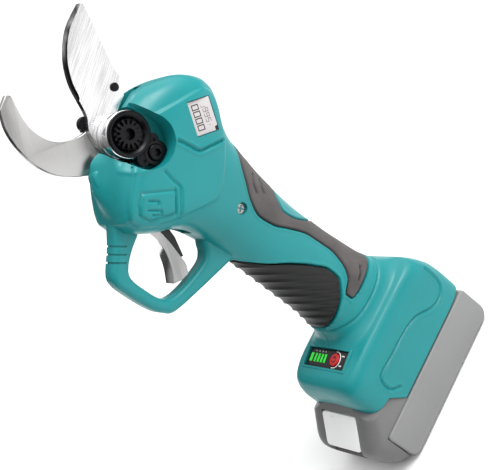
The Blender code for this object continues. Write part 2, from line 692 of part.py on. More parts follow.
def make_trigger():
    px, _, pz = TRIGGER_PIVOT
    front = smooth_line([(-30.6, 233.5), (-31.2, 226.5), (-34.5, 217.5), (-40, 209.5), (-47.2, 202.6)], 4)
    back = smooth_line([(-36.4, 197.6), (-32.2, 202.5), (-30.0, 209.5), (-27.2, 219), (-25.2, 229)], 4)
    lever = prism("trigger", front + [(-42.4, 199.2)] + back + [(-23.6, 236), (-24, 241), (-33.6, 240)],
                  -TRIGGER_HALF, TRIGGER_HALF, CHROME)
    bevel(lever, 0.8)
    hub_half = TRIGGER_HALF - 1.5
    join(lever, rod("hub", TRIGGER_PIVOT, (0, 1, 0), 4.6, -hub_half, hub_half, CHROME, 16))
    cut(lever, rod("bore", TRIGGER_PIVOT, (0, 1, 0), 2.0, -20, 20, CHROME, 12))
    origin_at(lever, TRIGGER_PIVOT)
    web = prism("trigger_web", [(-24.5, 229.5), (-26.8, 219), (-29.6, 209.3), (-30.4, 206.6),
                                (-28.6, 205.4),
                                (-22.0, 217), (-18.6, 228), (-17.6, 238), (-22.9, 238), (-22.9, 236)],
                -3.4, 3.4, BLACK)
    origin_at(web, TRIGGER_PIVOT)
    pin = rod("trigger_pin", TRIGGER_PIVOT, (0, 1, 0), 1.7, -12.2, 12.2, STEEL, 10)
    block("trigger_switch", (-15.5, -6.0, 233), (-9.5, 6.0, 247), BLACK)
    return lever, web, pin


def make_trigger_spring():
    """A torsion spring coiled round the trigger's pin, beside its hub."""
    px, _, pz = TRIGGER_PIVOT
    turns = 3
    steps = 10
    line = []
    for i in range(turns * steps + 1):
        a = 2 * math.pi * i / steps
        line.append((px + 3.4 * math.cos(a), TRIGGER_HALF + 1.2 + 1.35 * i / steps, pz + 3.4 * math.sin(a)))
    wire("trigger_spring", line, 0.5, STEEL)


def wire(name, line, radius, look, resolution=1):
    """A round wire along a list of points, as a closed mesh."""
    curve = bpy.data.curves.new(name, "CURVE")
    curve.dimensions = "3D"
    curve.bevel_depth = radius * MM
    curve.bevel_resolution = resolution
    curve.use_fill_caps = True
    run = curve.splines.new("POLY")
    run.points.add(len(line) - 1)
    for point, place in zip(run.points, line):
        point.co = (*(Vector(place) * MM), 1.0)
    made = bpy.data.objects.new(name, curve)
    curve.materials.append(material(look))
    bpy.context.collection.objects.link(made)
    return made


# ---------------------------------------------------------------- battery

def nose_section(front, back, half, radius, z):
    """A plan outline with rounded front corners and square back corners."""
    ring = [(back, -half, z)]
    for i in range(6):
        a = math.radians(-90 - 18 * i)
        ring.append((front + radius + radius * math.cos(a), -half + radius + radius * math.sin(a), z))
    for i in range(6):
        a = math.radians(180 - 18 * i)
        ring.append((front + radius + radius * math.cos(a), half - radius + radius * math.sin(a), z))
    ring.append((back, half, z))
    return ring


NOSE_LEVELS = [(0.6, -64.0, 33.6, 12.0), (5.0, -67.4, 35.6, 14.0), (16.0, -70.6, 36.2, 14.0),
               (27.0, -71.0, 36.2, 14.0), (30.0, -69.6, 36.2, 13.0), (38.0, -62.0, 35.4, 11.0),
               (46.0, -54.0, 34.4, 10.0), (56.0, -44.5, 33.0, 9.0)]


def make_battery():
    body = block("battery_case", (-56.0, -PACK_HALF, 0), (PACK_BACK, PACK_HALF, TUB_TOP), LIGHT_GREY)
    bevel(body, 3.0, 2)
    cut(body, block("inside", (-53.5, -34.6, 2.5), (56.4, 34.6, 40), LIGHT_GREY))
    rings = [nose_section(front, -20, half, radius, z) for z, front, half, radius in NOSE_LEVELS]
    nose = loft("nose", rings, DARK_GREY)
    keep(nose, nose_cut("nose_room", -0.5))
    cut(nose, block("tub_room", (-56.0 - GAP, -60, -5), (90, 60, TUB_TOP + GAP), DARK_GREY))
    deck = block("deck", (-40.0, -35.0, TUB_TOP + GAP), (56.5, 35.0, 29.6), DARK_GREY)
    neck = block("neck", (-40.0, -NECK_HALF, 29.2), (54.0, NECK_HALF, 36.0), DARK_GREY)
    rails = block("rails", (-40.0, -RAIL_HALF, 35.2), (54.0, RAIL_HALF, 43.8), DARK_GREY)
    join(nose, deck, neck, rails)
    nose.name = "battery_cover"
    cut(nose, block("board_room", (-30, -18, 20), (46, 18, 40.4), DARK_GREY))
    for y in CONTACT_Y:
        cut(nose, block("terminal_slot", (18, y - 1.6, 36), (80, y + 1.6, 60), DARK_GREY))
    latch_room = [(-47.8, 47.6), (-47.8, 39.4), (-66.5, 20.7), (-90, 20.7), (-90, 47.6)]
    cut(nose, prism("button_room", latch_room, -19.4, 19.4, DARK_GREY))
    cut(nose, rod("spring_room", (SPRING_X, 0, 0), (0, 0, 1), 3.5, 12.0, 40, DARK_GREY, 12))
    return body, nose


def make_release_button():
    outline = [(-49.2, 47.2), (-53.2, 47.2), (-70.6, 29.8), (-70.6, 27.2), (-67.0, 25.9), (-48.4, 44.4)]
    button = prism("release_button", outline, -19.0, 19.0, WHITE)
    bevel(button, 0.9, 1)
    origin_at(button, (SPRING_X, 0, 36))
    steps = 7
    turns = 4
    line = []
    for i in range(turns * steps + 1):
        a = 2 * math.pi * i / steps
        line.append((SPRING_X + 2.3 * math.cos(a), 2.3 * math.sin(a), 12.9 + 15.6 * i / (turns * steps)))
    wire("button_spring", line, 0.45, STEEL)
    return button


def make_battery_inside():
    pitch = 2 * CELL_R + 0.5
    for number in range(CELLS):
        x = (number - (CELLS - 1) / 2) * pitch
        cell = rod("battery_cell_%d" % (number + 1), (x, 0, 2.9 + CELL_R), (0, 1, 0), CELL_R,
                   -CELL_LENGTH / 2, CELL_LENGTH / 2, CELL, 14)
        origin_at(cell, (x, 0, 2.9 + CELL_R))
    block("battery_board", (-28, -16, 30.5), (44, 16, 32.1), BOARD)


def make_terminal_block():
    body = block("terminal_block", (15, -17, 50.4), (50, 17, 54.4), BLACK)
    for y in CONTACT_Y:
        join(body, block("contact", (24, y - 0.6, 38), (46, y + 0.6, 51), BLACK))
    return body


def make_control_board():
    block("control_board", (-20, -13, 57), (38, 13, 58.6), BOARD)


def make_leads():
    """Motor leads, held inside the handle from the control board to the motor."""
    for name, x, y in (("motor_lead_red", 6.0, 4.0), ("motor_lead_black", 12.0, -4.0)):
        low = Vector((x, y, 59.2))
        high = drive_point(80.6) + Vector((8.0 if y > 0 else -8.0, y, -0.4))
        middle = [Vector((x, y, 70)), Vector((16, 2 * y, 100)), Vector((18, 2 * y, 140)),
                  Vector((high.x, y, high.z - 14))]
        line = smooth_line([low] + middle + [high], 4)
        wire(name, line, 1.1, BLACK)


def main():
    clear_scene()
    make_shell("left_shell", -1)
    make_shell("right_shell", 1)
    make_housing_screws()
    make_grips()
    make_display()
    make_power_panel()
    make_blades()
    make_pivot()
    make_lock()
    make_drive_gear()
    make_drive_train()
    make_trigger()
    make_trigger_spring()
    make_battery()
    make_release_button()
    make_battery_inside()
    make_terminal_block()
    make_control_board()
    make_leads()


main()
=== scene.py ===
"""Looks of a cordless bypass pruner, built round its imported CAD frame."""

import math

import bmesh
import bpy
import numpy as np
from mathutils import Matrix, Vector


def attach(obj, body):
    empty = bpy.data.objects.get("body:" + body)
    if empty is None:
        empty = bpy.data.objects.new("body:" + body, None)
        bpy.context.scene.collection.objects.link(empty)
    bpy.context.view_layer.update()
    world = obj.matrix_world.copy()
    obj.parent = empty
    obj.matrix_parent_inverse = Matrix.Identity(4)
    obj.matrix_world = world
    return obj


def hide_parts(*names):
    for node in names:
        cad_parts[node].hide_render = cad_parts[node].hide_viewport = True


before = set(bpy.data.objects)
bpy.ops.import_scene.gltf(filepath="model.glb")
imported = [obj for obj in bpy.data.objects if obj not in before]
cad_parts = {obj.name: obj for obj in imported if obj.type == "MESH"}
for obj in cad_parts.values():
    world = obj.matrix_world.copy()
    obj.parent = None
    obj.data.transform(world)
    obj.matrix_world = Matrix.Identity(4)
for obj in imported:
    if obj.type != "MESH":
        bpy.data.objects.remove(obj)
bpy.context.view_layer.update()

MM = 0.001
STEP = 0.7                          # spacing of the housing's surface grid, mm
PIVOT = (6.5, 0.0, 282.0)
LOCK = (7.9, 0.0, 261.9)
HEAD_TOP = 290.0

# Housing sections: z, front x, back x, half width, squareness of the section
LEVELS = [(30, -47, 62.5, 37, 8), (45, -49, 63, 36.8, 8), (56, -49, 62.5, 36.6, 7.8),
          (64, -48, 60.5, 35.9, 7.2),
          (70, -45.5, 58, 34.6, 6.8), (74, -40, 55.8, 32.4, 5.8), (76, -25, 54.5, 28.4, 3.8),
          (82, -15.5, 51, 25.4, 2.9), (90, -13.5, 46.5, 24, 2.6), (100, -12.5, 44, 22.6, 2.4),
          (112, -11.5, 43, 20.8, 2.3), (132, -11.5, 41.5, 20, 2.2), (154, -11.5, 41, 20, 2.2),
          (176, -12, 42, 20.6, 2.2), (192, -13, 43, 22.2, 2.4), (205, -14, 44, 24.6, 2.8),
          (213, -15.5, 44.6, 26.2, 3.1), (220, -18.5, 45.4, 27.4, 3.4), (227, -24, 47, 28, 3.8),
          (233, -30, 49.5, 28.4, 4.2), (238, -34, 53, 28.5, 4.4), (243, -37.5, 57.5, 28.6, 4.6),
          (249, -40, 62, 28.6, 4.8), (255, -40, 64.5, 28.6, 4.8), (260, -37, 64.8, 28.6, 4.8),
          (265, -32.4, 63.5, 28.4, 4.6), (270, -27.2, 61, 27.8, 4.4), (275, -21.4, 57.2, 26.8, 4.2),
          (280, -14.6, 51.5, 25, 3.9), (286, -6, 42, 21, 3.5), (290, 0, 33, 17, 3.2)]

# Grip outlines: z and half angle round the handle, in degrees
FRONT_GRIP = [(93, 14), (95, 38), (98, 58), (102, 76), (110, 91), (119, 93), (130, 87), (145, 70),
              (158, 46), (168, 26), (174, 9)]
REAR_GRIP = [(92.5, 88), (95, 99), (99, 99), (104, 84), (112, 71), (126, 61), (143, 63), (158, 75),
             (170, 86), (182, 89), (193, 83), (203, 72), (212, 58), (219, 34), (223, 10)]
REAR_WINDOW = [(140, 10), (144, 25), (151, 42), (159, 53), (167, 57), (174, 44), (178, 24)]


# ---------------------------------------------------------------- materials

def node_tree(name):
    made = bpy.data.materials.new(name)
    made.use_nodes = True
    nodes = made.node_tree.nodes
    return made, nodes, made.node_tree.links, nodes["Principled BSDF"]


def noise_node(nodes, links, scale, detail=4.0, stretch=(1, 1, 1), turn=(0, 0, 0)):
    place = nodes.new("ShaderNodeTexCoord")
    mapping = nodes.new("ShaderNodeMapping")
    mapping.vector_type = "TEXTURE"
    mapping.inputs["Scale"].default_value = stretch
    mapping.inputs["Rotation"].default_value = turn
    texture = nodes.new("ShaderNodeTexNoise")
    texture.inputs["Scale"].default_value = scale
    texture.inputs["Detail"].default_value = detail
    links.new(place.outputs["Object"], mapping.inputs["Vector"])
    links.new(mapping.outputs["Vector"], texture.inputs["Vector"])
    return texture


def ramp_node(nodes, links, source, low, high, start=0.35, stop=0.65):
    ramp = nodes.new("ShaderNodeValToRGB")
    ramp.color_ramp.elements[0].position = start
    ramp.color_ramp.elements[1].position = stop
    ramp.color_ramp.elements[0].color = (*low, 1.0)
    ramp.color_ramp.elements[1].color = (*high, 1.0)
    links.new(source, ramp.inputs["Fac"])
    return ramp


def bump_node(nodes, links, source, shader, strength, distance):
    bump = nodes.new("ShaderNodeBump")
    bump.inputs["Strength"].default_value = strength
    bump.inputs["Distance"].default_value = distance * MM
    links.new(source, bump.inputs["Height"])
    links.new(bump.outputs["Normal"], shader.inputs["Normal"])
    return bump


def plastic(name, colour, rough=0.42, vary=0.06, grain=2200.0, grain_depth=0.03, coat=0.0):
    """Moulded plastic: fine spark-eroded grain, slow colour drift and uneven gloss."""
    made, nodes, links, shader = node_tree(name)
    slow = noise_node(nodes, links, 22.0, 3.0)
    low = tuple(c * (1 - vary) for c in colour)
    high = tuple(min(1.0, c * (1 + vary)) for c in colour)
    drift = ramp_node(nodes, links, slow.outputs["Fac"], low, high)
    links.new(drift.outputs["Color"], shader.inputs["Base Color"])
    gloss = noise_node(nodes, links, 90.0, 5.0)
    spread = ramp_node(nodes, links, gloss.outputs["Fac"], (rough - 0.05,) * 3, (rough + 0.06,) * 3)
    links.new(spread.outputs["Color"], shader.inputs["Roughness"])
    fine = noise_node(nodes, links, grain, 2.0)
    bump_node(nodes, links, fine.outputs["Fac"], shader, 0.35, grain_depth)
    shader.inputs["Specular IOR Level"].default_value = 0.36
    shader.inputs["Coat Weight"].default_value = coat
    shader.inputs["Coat Roughness"].default_value = 0.25
    return made


def rubber(name, colour, rough=0.7):
    """Soft overmould: matt, with a pebbled grain and a faint dusty sheen."""
    made, nodes, links, shader = node_tree(name)
    slow = noise_node(nodes, links, 60.0, 5.0)
    drift = ramp_node(nodes, links, slow.outputs["Fac"], tuple(c * 0.82 for c in colour),
                      tuple(c * 1.2 for c in colour))
    links.new(drift.outputs["Color"], shader.inputs["Base Color"])
    cells = nodes.new("ShaderNodeTexVoronoi")
    place = nodes.new("ShaderNodeTexCoord")
    cells.inputs["Scale"].default_value = 1500.0
    links.new(place.outputs["Object"], cells.inputs["Vector"])
    bump_node(nodes, links, cells.outputs["Distance"], shader, 0.4, 0.08)
    shader.inputs["Roughness"].default_value = rough
    shader.inputs["Specular IOR Level"].default_value = 0.35
    return made


def metal(name, colour, rough, brush=(1, 1, 1), turn=(0, 0, 0), scale=900.0, depth=0.02, vary=0.08,
          spread=0.08, patches=0.0, patch_scale=40.0):
    """Metal with brush or turning marks, long in the directions of brush, and slower patches of painted
    dark reflection that darken its colour.
    """
    made, nodes, links, shader = node_tree(name)
    marks = noise_node(nodes, links, scale, 3.0, brush, turn)
    low = tuple(c * (1 - vary) for c in colour)
    tone = ramp_node(nodes, links, marks.outputs["Fac"], low, colour, 0.35, 0.6)
    # Painted dark reflection: slow noise patches multiply the colour down, by up to the patches amount.
    slow = noise_node(nodes, links, patch_scale, 2.0, (1 + (brush[0] - 1) * 0.2, 1, 1), turn)
    painted_reflection = ramp_node(nodes, links, slow.outputs["Fac"], (1 - patches,) * 3, (1.0,) * 3, 0.40, 0.55)
    mix = nodes.new("ShaderNodeMix")
    mix.data_type = "RGBA"
    mix.blend_type = "MULTIPLY"
    mix.inputs["Factor"].default_value = 1.0
    links.new(tone.outputs["Color"], mix.inputs["A"])
    links.new(painted_reflection.outputs["Color"], mix.inputs["B"])
    links.new(mix.outputs["Result"], shader.inputs["Base Color"])
    gloss = ramp_node(nodes, links, marks.outputs["Fac"], (max(0.03, rough - spread),) * 3,
                      (rough + spread,) * 3, 0.3, 0.7)
    links.new(gloss.outputs["Color"], shader.inputs["Roughness"])
    bump_node(nodes, links, marks.outputs["Fac"], shader, 0.3, depth)
    shader.inputs["Metallic"].default_value = 1.0
    return made


def glowing(name, colour, strength):
    made, nodes, links, shader = node_tree(name)
    slow = noise_node(nodes, links, 500.0, 3.0)
    tone = ramp_node(nodes, links, slow.outputs["Fac"], tuple(c * 0.8 for c in colour), colour)
    links.new(tone.outputs["Color"], shader.inputs["Base Color"])
    shader.inputs["Emission Color"].default_value = (*colour, 1.0)
    shader.inputs["Emission Strength"].default_value = strength
    shader.inputs["Roughness"].default_value = 0.25
    return made


TEAL = plastic("teal_plastic", (0.006, 0.225, 0.235), 0.36, 0.04, 2400.0, 0.02)
GRIP = rubber("grip_rubber", (0.072, 0.064, 0.064), 0.60)
BLACK_GRIP = rubber("black_grip_rubber", (0.006, 0.006, 0.006), 0.42)
BLACK = plastic("black_plastic", (0.006, 0.006, 0.007), 0.38, 0.15)
LIGHT_GREY = plastic("light_grey_plastic", (0.235, 0.235, 0.235), 0.42, 0.03)
DARK_GREY = plastic("dark_grey_plastic", (0.150, 0.150, 0.151), 0.40, 0.05)
WHITE = plastic("white_plastic", (0.93, 0.93, 0.93), 0.32, 0.015)
SCREEN = plastic("screen_face", (0.500, 0.470, 0.470), 0.25, 0.03, 3000.0, 0.004, 0.4)
INK = plastic("display_ink", (0.030, 0.022, 0.028), 0.4, 0.10)
PALE_INK = plastic("display_ink_pale", (0.17, 0.14, 0.16), 0.4, 0.10)
RED = plastic("red_plastic", (0.42, 0.010, 0.010), 0.32, 0.08)
# In the four metals below, the last two numbers set slow patches of painted dark reflection, not the
# steel's own colour.
BLADE = metal("brushed_blade", (0.92, 0.92, 0.92), 0.24, (40, 1, 1), (0, -0.25, 0), 1700.0, 0.004, 0.36,
              0.08, 0.20, 40.0)
# The ground bevel: the blade steel painted much darker, with near-black patches, as painted dark
# reflection.
GROUND_PAINTED_DARK = metal("ground_bevel_painted_dark", (0.42, 0.42, 0.425), 0.20, (30, 1, 1), (0, -1.0, 0), 1200.0, 0.01, 0.20,
               0.10, 0.94, 75.0)
SATIN = metal("satin_blade", (0.52, 0.515, 0.51), 0.34, (40, 1, 1), (0, -0.9, 0), 1500.0, 0.012, 0.07, 0.06,
              0.06, 30.0)
LEVER = metal("lever_side", (0.40, 0.40, 0.40), 0.30, (30, 1, 1), (0, -0.9, 0), 1500.0, 0.012, 0.10, 0.06,
              0.30, 60.0)
CHROME = metal("bright_chrome", (0.88, 0.88, 0.89), 0.11, (1, 1, 1), (0, 0, 0), 700.0, 0.0004, 0.05, 0.04)
TURNED = metal("turned_steel", (0.34, 0.32, 0.32), 0.26, (1, 6, 1), (0, 0, 0), 1200.0, 0.02, 0.25, 0.08)
BLACK_STEEL = metal("black_steel", (0.022, 0.022, 0.024), 0.34, (1, 1, 1), (0, 0, 0), 1500.0, 0.02, 0.30,
                    0.10)
LED = glowing("led_green", (0.01, 0.80, 0.03), 0.15)
BOARD = plastic("circuit_board", (0.012, 0.110, 0.050), 0.35, 0.25)
CELL = plastic("cell_sleeve", (0.03, 0.13, 0.36), 0.3, 0.08)
COPPER = metal("copper_windings", (0.70, 0.30, 0.15), 0.30, (1, 1, 10), (0, 0, 0), 900.0, 0.05, 0.40, 0.10)
RED_WIRE = plastic("red_wire", (0.45, 0.01, 0.01), 0.4, 0.08)


# ---------------------------------------------------------------- mesh helpers

def show(name, points, faces, look=None, body=None, replaced=(), slot=None, angle=35):
    """A mesh from points in millimetres; with a body named it is finished and rides on that body."""
    mesh = bpy.data.meshes.new(name)
    mesh.from_pydata([tuple(c * MM for c in p) for p in points], [], faces)
    work = bmesh.new()
    work.from_mesh(mesh)
    bmesh.ops.recalc_face_normals(work, faces=work.faces)
    work.to_mesh(mesh)
    work.free()
    made = bpy.data.objects.new(name, mesh)
    bpy.context.scene.collection.objects.link(made)
    if look:
        mesh.materials.append(look)
    if body:
        finish(made, body, replaced, angle)
    return made


def finish(made, body, replaced=(), angle=35):
    smooth(made, angle)
    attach(made, body)
    if replaced:
        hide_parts(*replaced)
    return made


def smooth(made, angle=35):
    made.data.shade_smooth()
    made.data.set_sharp_from_angle(angle=math.radians(angle))


def apply_modifiers(item):
    graph = bpy.context.evaluated_depsgraph_get()
    item.data = bpy.data.meshes.new_from_object(item.evaluated_get(graph))
    item.modifiers.clear()


def boolean(item, tool, operation="DIFFERENCE"):
    step = item.modifiers.new("step", "BOOLEAN")
    step.operation = operation
    step.solver = "MANIFOLD"
    step.object = tool
    apply_modifiers(item)
    bpy.data.objects.remove(tool, do_unlink=True)
    looks = item.data.materials
    for i in range(1, len(looks)):
        looks[i] = looks[i] or looks[0]


def second_look(item, look, chosen):
    """Another material on the faces that the test picks by centre (in millimetres) and normal."""
    item.data.materials.append(look)
    for face in item.data.polygons:
        if chosen(face.center / MM, face.normal):
            face.material_index = len(item.data.materials) - 1


def bevel(item, width, segments=3, angle=30):
    step = item.modifiers.new("bevel", "BEVEL")
    step.width = width * MM
    step.segments = segments
    step.limit_method = "ANGLE"
    step.angle_limit = math.radians(angle)
    step.harden_normals = False
    apply_modifiers(item)


def loft(name, rings, look=None, closed=False, **rest):
    """Skin equal rings of points; the ends are capped unless the loft closes on itself."""
    count = len(rings[0])
    points = [p for ring in rings for p in ring]
    faces = []
    spans = len(rings) if closed else len(rings) - 1
    for i in range(spans):
        a = i * count
        b = ((i + 1) % len(rings)) * count
        for j in range(count):
            k = (j + 1) % count
            faces.append((a + j, a + k, b + k, b + j))
    if not closed:
        faces.append(tuple(range(count)))
        last = (len(rings) - 1) * count
        faces.append(tuple(range(last, last + count)))
    return show(name, points, faces, look, **rest)


def prism(name, outline, y0, y1, look=None, **rest):
    """An outline in X and Z, given thickness from y0 to y1."""
    return loft(name, [[(x, y, z) for x, z in outline] for y in (y0, y1)], look, **rest)


def block(name, low, high, look=None, **rest):
    outline = [(low[0], low[2]), (high[0], low[2]), (high[0], high[2]), (low[0], high[2])]
    return prism(name, outline, low[1], high[1], look, **rest)


def axes_for(axis):
    along = Vector(axis).normalized()
    side = along.cross(Vector((0, 0, 1)) if abs(along.z) < 0.9 else Vector((1, 0, 0))).normalized()
    return side, along.cross(side), along


def turned(name, profile, centre, axis, look=None, steps=72, **rest):
    """A profile of (radius, distance) turned round an axis; zero radii close the ends."""
    u, v, w = axes_for(axis)
    rings = []
    for radius, along in profile:
        r = max(radius, 0.001)
        rings.append([tuple(Vector(centre) + w * along + (u * math.cos(a) + v * math.sin(a)) * r)
                      for a in (2 * math.pi * i / steps for i in range(steps))])
    ring_shaped = profile[0][0] > 0.01
    return loft(name, rings, look, closed=ring_shaped, **rest)


def rod(name, centre, axis, radius, s0, s1, look=None, steps=48, **rest):
    return turned(name, [(0, s0), (radius, s0), (radius, s1), (0, s1)], centre, axis, look, steps, **rest)


def rounded(profile, radius, steps=3):
    """Round the corners of a closed profile of (radius, distance) points."""
    result = []
    count = len(profile)
    for i in range(count):
        here = Vector(profile[i])
        before = Vector(profile[i - 1]) - here
        after = Vector(profile[(i + 1) % count]) - here
        reach = min(radius, before.length * 0.45, after.length * 0.45)
        if here.x < 0.01 or reach < 0.01:
            result.append(tuple(here))
            continue
        start = here + before.normalized() * reach
        stop = here + after.normalized() * reach
        for j in range(steps + 1):
            t = j / steps
            result.append(tuple(start * (1 - t) ** 2 + here * 2 * t * (1 - t) + stop * t ** 2))
    return result


def smooth_line(points, steps=6):
    line = []
    last = len(points) - 1
    for i in range(last):
        p = [Vector(points[max(0, min(last, i + k))]) for k in (-1, 0, 1, 2)]
        for j in range(steps):
            t = j / steps
            line.append(tuple(0.5 * (2 * p[1] + (p[2] - p[0]) * t
                                     + (2 * p[0] - 5 * p[1] + 4 * p[2] - p[3]) * t ** 2
                                     + (3 * p[1] - p[0] - 3 * p[2] + p[3]) * t ** 3)))
    line.append(tuple(points[-1]))
    return line


def arc(cx, cz, radius, start, stop, steps):
    turns = [math.radians(start + (stop - start) * i / steps) for i in range(steps + 1)]
    return [(cx + radius * math.cos(t), cz + radius * math.sin(t)) for t in turns]


def wire(name, line, radius, look, body):
    """A round wire along a list of points, as a mesh."""
    curve = bpy.data.curves.new(name, "CURVE")
    curve.dimensions = "3D"
    curve.bevel_depth = radius * MM
    curve.bevel_resolution = 4
    curve.use_fill_caps = True
    run = curve.splines.new("POLY")
    run.points.add(len(line) - 1)
    for point, place in zip(run.points, line):
        point.co = (*(Vector(place) * MM), 1.0)
    source = bpy.data.objects.new(name + "_path", curve)
    bpy.context.scene.collection.objects.link(source)
    graph = bpy.context.evaluated_depsgraph_get()
    mesh = bpy.data.meshes.new_from_object(source.evaluated_get(graph))
    bpy.data.objects.remove(source, do_unlink=True)
    made = bpy.data.objects.new(name, mesh)
    mesh.materials.clear()
    mesh.materials.append(look)
    bpy.context.scene.collection.objects.link(made)
    return finish(made, body, (), 60)


# ---------------------------------------------------------------- the housing's surface

def eased(table, column, z):
    """A column of a table as a smooth curve without overshoot (monotone cubic)."""
    xs = np.array([row[0] for row in table], float)
    ys = np.array([row[column] for row in table], float)
    h = np.diff(xs)
    d = np.diff(ys) / h
    m = np.concatenate([[d[0]], np.zeros(len(xs) - 2), [d[-1]]])
    for i in range(1, len(xs) - 1):
        if d[i - 1] * d[i] > 0:
            m[i] = 2 * d[i - 1] * d[i] / (d[i - 1] + d[i])
    i = np.clip(np.searchsorted(xs, z) - 1, 0, len(h) - 1)
    t = np.clip((z - xs[i]) / h[i], 0, 1)
    return ((2 * t ** 3 - 3 * t ** 2 + 1) * ys[i] + (t ** 3 - 2 * t ** 2 + t) * h[i] * m[i]
            + (3 * t ** 2 - 2 * t ** 3) * ys[i + 1] + (t ** 3 - t ** 2) * h[i] * m[i + 1])


def section(z, angle, offset=0.0):
    """Points of the housing at heights z and angles from the back, moved out by offset."""
    front, back, half, power = (eased(LEVELS, k, z) for k in (1, 2, 3, 4))
    c = np.cos(angle)
    s = np.sin(angle)
    x = (front + back) / 2 + np.sign(c) * np.abs(c) ** (2 / power) * ((back - front) / 2 + offset)
    y = np.sign(s) * np.abs(s) ** (2 / power) * (half + offset)
    return x, y


def side_y(x, z):
    """How far the side of the housing is from the seam at x and z."""
    front, back, half, power = (float(eased(LEVELS, k, np.array(float(z)))) for k in (1, 2, 3, 4))
    across = min(1.0, abs(2 * x - front - back) / (back - front))
    return half * (1 - across ** power) ** (1 / power)


class Skin:
    """The housing's surface as an even grid, with distances along it for the features."""

    def __init__(self, step):
        self.heights = np.linspace(LEVELS[0][0], HEAD_TOP, int((HEAD_TOP - LEVELS[0][0]) / step) + 1)
        self.count = int(330 / step / 2) * 2
        fine = np.linspace(0, 2 * math.pi, 2881)
        shape = (len(self.heights), self.count)
        self.points = np.zeros(shape + (3,))
        self.along = np.zeros(shape)
        self.turn = np.zeros(shape)
        self.arc_tables = []
        for i, z in enumerate(self.heights):
            x, y = section(z, fine)
            length = np.concatenate([[0], np.cumsum(np.hypot(np.diff(x), np.diff(y)))])
            target = (np.arange(self.count) + 0.5) / self.count * length[-1]
            self.turn[i] = np.interp(target, length, fine)
            self.along[i] = target
            px, py = section(z, self.turn[i])
            self.points[i] = np.stack([px, py, np.full(self.count, z)], 1)
            self.arc_tables.append(length)
        self.fine = fine
        down = np.gradient(self.points, axis=0)
        wrapped = np.concatenate([self.points[:, -1:], self.points, self.points[:, :1]], 1)
        round_it = (wrapped[:, 2:] - wrapped[:, :-2]) / 2
        normal = np.cross(round_it, down)
        self.normal = normal / np.linalg.norm(normal, axis=2, keepdims=True)

    def edge_distance(self, table, middle):
        """Distance in mm outside (positive) or inside (negative) a band centred on an angle."""
        low, high = table[0][0], table[-1][0]
        z = np.clip(self.heights, low, high)
        half = np.radians(eased(table, 1, z))
        reach = np.zeros(len(self.heights))
        centre = np.zeros(len(self.heights))
        for i, length in enumerate(self.arc_tables):
            centre[i] = np.interp(middle, self.fine, length)
            reach[i] = np.interp(middle + half[i], self.fine, length) - centre[i]
        slope = np.gradient(reach, self.heights)
        gap = np.abs(self.along - centre[:, None])
        if middle < 0.1:
            total = np.array([t[-1] for t in self.arc_tables])
            gap = np.minimum(self.along, total[:, None] - self.along)
        across = (gap - reach[:, None]) / np.sqrt(1 + np.minimum(slope, 4) ** 2)[:, None]
        beyond = np.maximum(low - self.heights, self.heights - high)[:, None]
        return np.maximum(across, beyond)


def ease(low, high, value):
    t = np.clip((value - low) / (high - low), 0, 1)
    return t * t * (3 - 2 * t)


def hill(distance, width):
    return np.exp(-(distance / width) ** 2)


def line_distance(x, z, line):
    """Distance of points to a polyline of (x, z)."""
    best = np.full(x.shape, 1e9)
    for (ax, az), (bx, bz) in zip(line, line[1:]):
        dx, dz = bx - ax, bz - az
        t = np.clip(((x - ax) * dx + (z - az) * dz) / (dx * dx + dz * dz), 0, 1)
        best = np.minimum(best, np.hypot(x - ax - t * dx, z - az - t * dz))
    return best


def area_distance(x, z, outline):
    """Signed distance to a closed outline of (x, z), negative inside."""
    loop = list(outline) + [outline[0]]
    inside = np.zeros(x.shape, bool)
    for (ax, az), (bx, bz) in zip(loop, loop[1:]):
        crosses = (az > z) != (bz > z)
        with np.errstate(divide="ignore", invalid="ignore"):
            at = ax + (z - az) * (bx - ax) / (bz - az if bz != az else 1e-9)
        inside ^= crosses & (x < at)
    return np.where(inside, -1, 1) * line_distance(x, z, loop)


def pocket_outline(radius, steps=28):
    return arc(8, 272.5, radius, 180, 360, steps) + arc(7, 288, radius, 0, 180, steps)


SHIELD = smooth_line([(22, 278), (38, 270), (54, 261.5), (58, 254), (51, 241), (37, 229.5), (22, 221),
                      (8, 215.5),
                      (-3, 221), (-19, 232), (-33, 243), (-37, 251), (-33, 259), (-24, 265), (-10, 272)], 4)
FOLD = smooth_line([(19, 257), (20.6, 249.3), (22.3, 242.2), (29, 237.6), (37, 232.4)], 5)
CREASE = smooth_line([(-1.2, 254.5), (-2.6, 247.5), (-3.4, 240.9), (-10.6, 235.2), (-17.5, 230)], 5)
CREASE_2 = [(-5.6, 243.8), (-12.4, 238.2), (-18.6, 233.4)]
BADGE = [(-20.8, 258.8), (-7.4, 242.6), (-17, 235.8), (-29.6, 246.6), (-30.6, 252.4), (-26.6, 256.2)]
BADGE_MARKS = ([(-21.6, 253.6), (-18.2, 248.4), (-20.0, 247.2)],
               [(-26.0, 250.4), (-21.4, 243.8), (-23.4, 242.4),
                                                                 (-26.6, 246.8)])
RIDGE = smooth_line([(-8.4, 270.5), (-17, 266.4), (-26, 262), (-36.5, 252.4)], 5)
FOOT_GROOVE = smooth_line([(54.7, 62), (52.8, 48.4), (45.3, 42.2), (34.8, 44), (23.6, 51.7), (11.4, 54.9),
                           (-7.4, 55.7), (-25.4, 55.7), (-28.3, 45), (-22.6, 38.8)], 6)


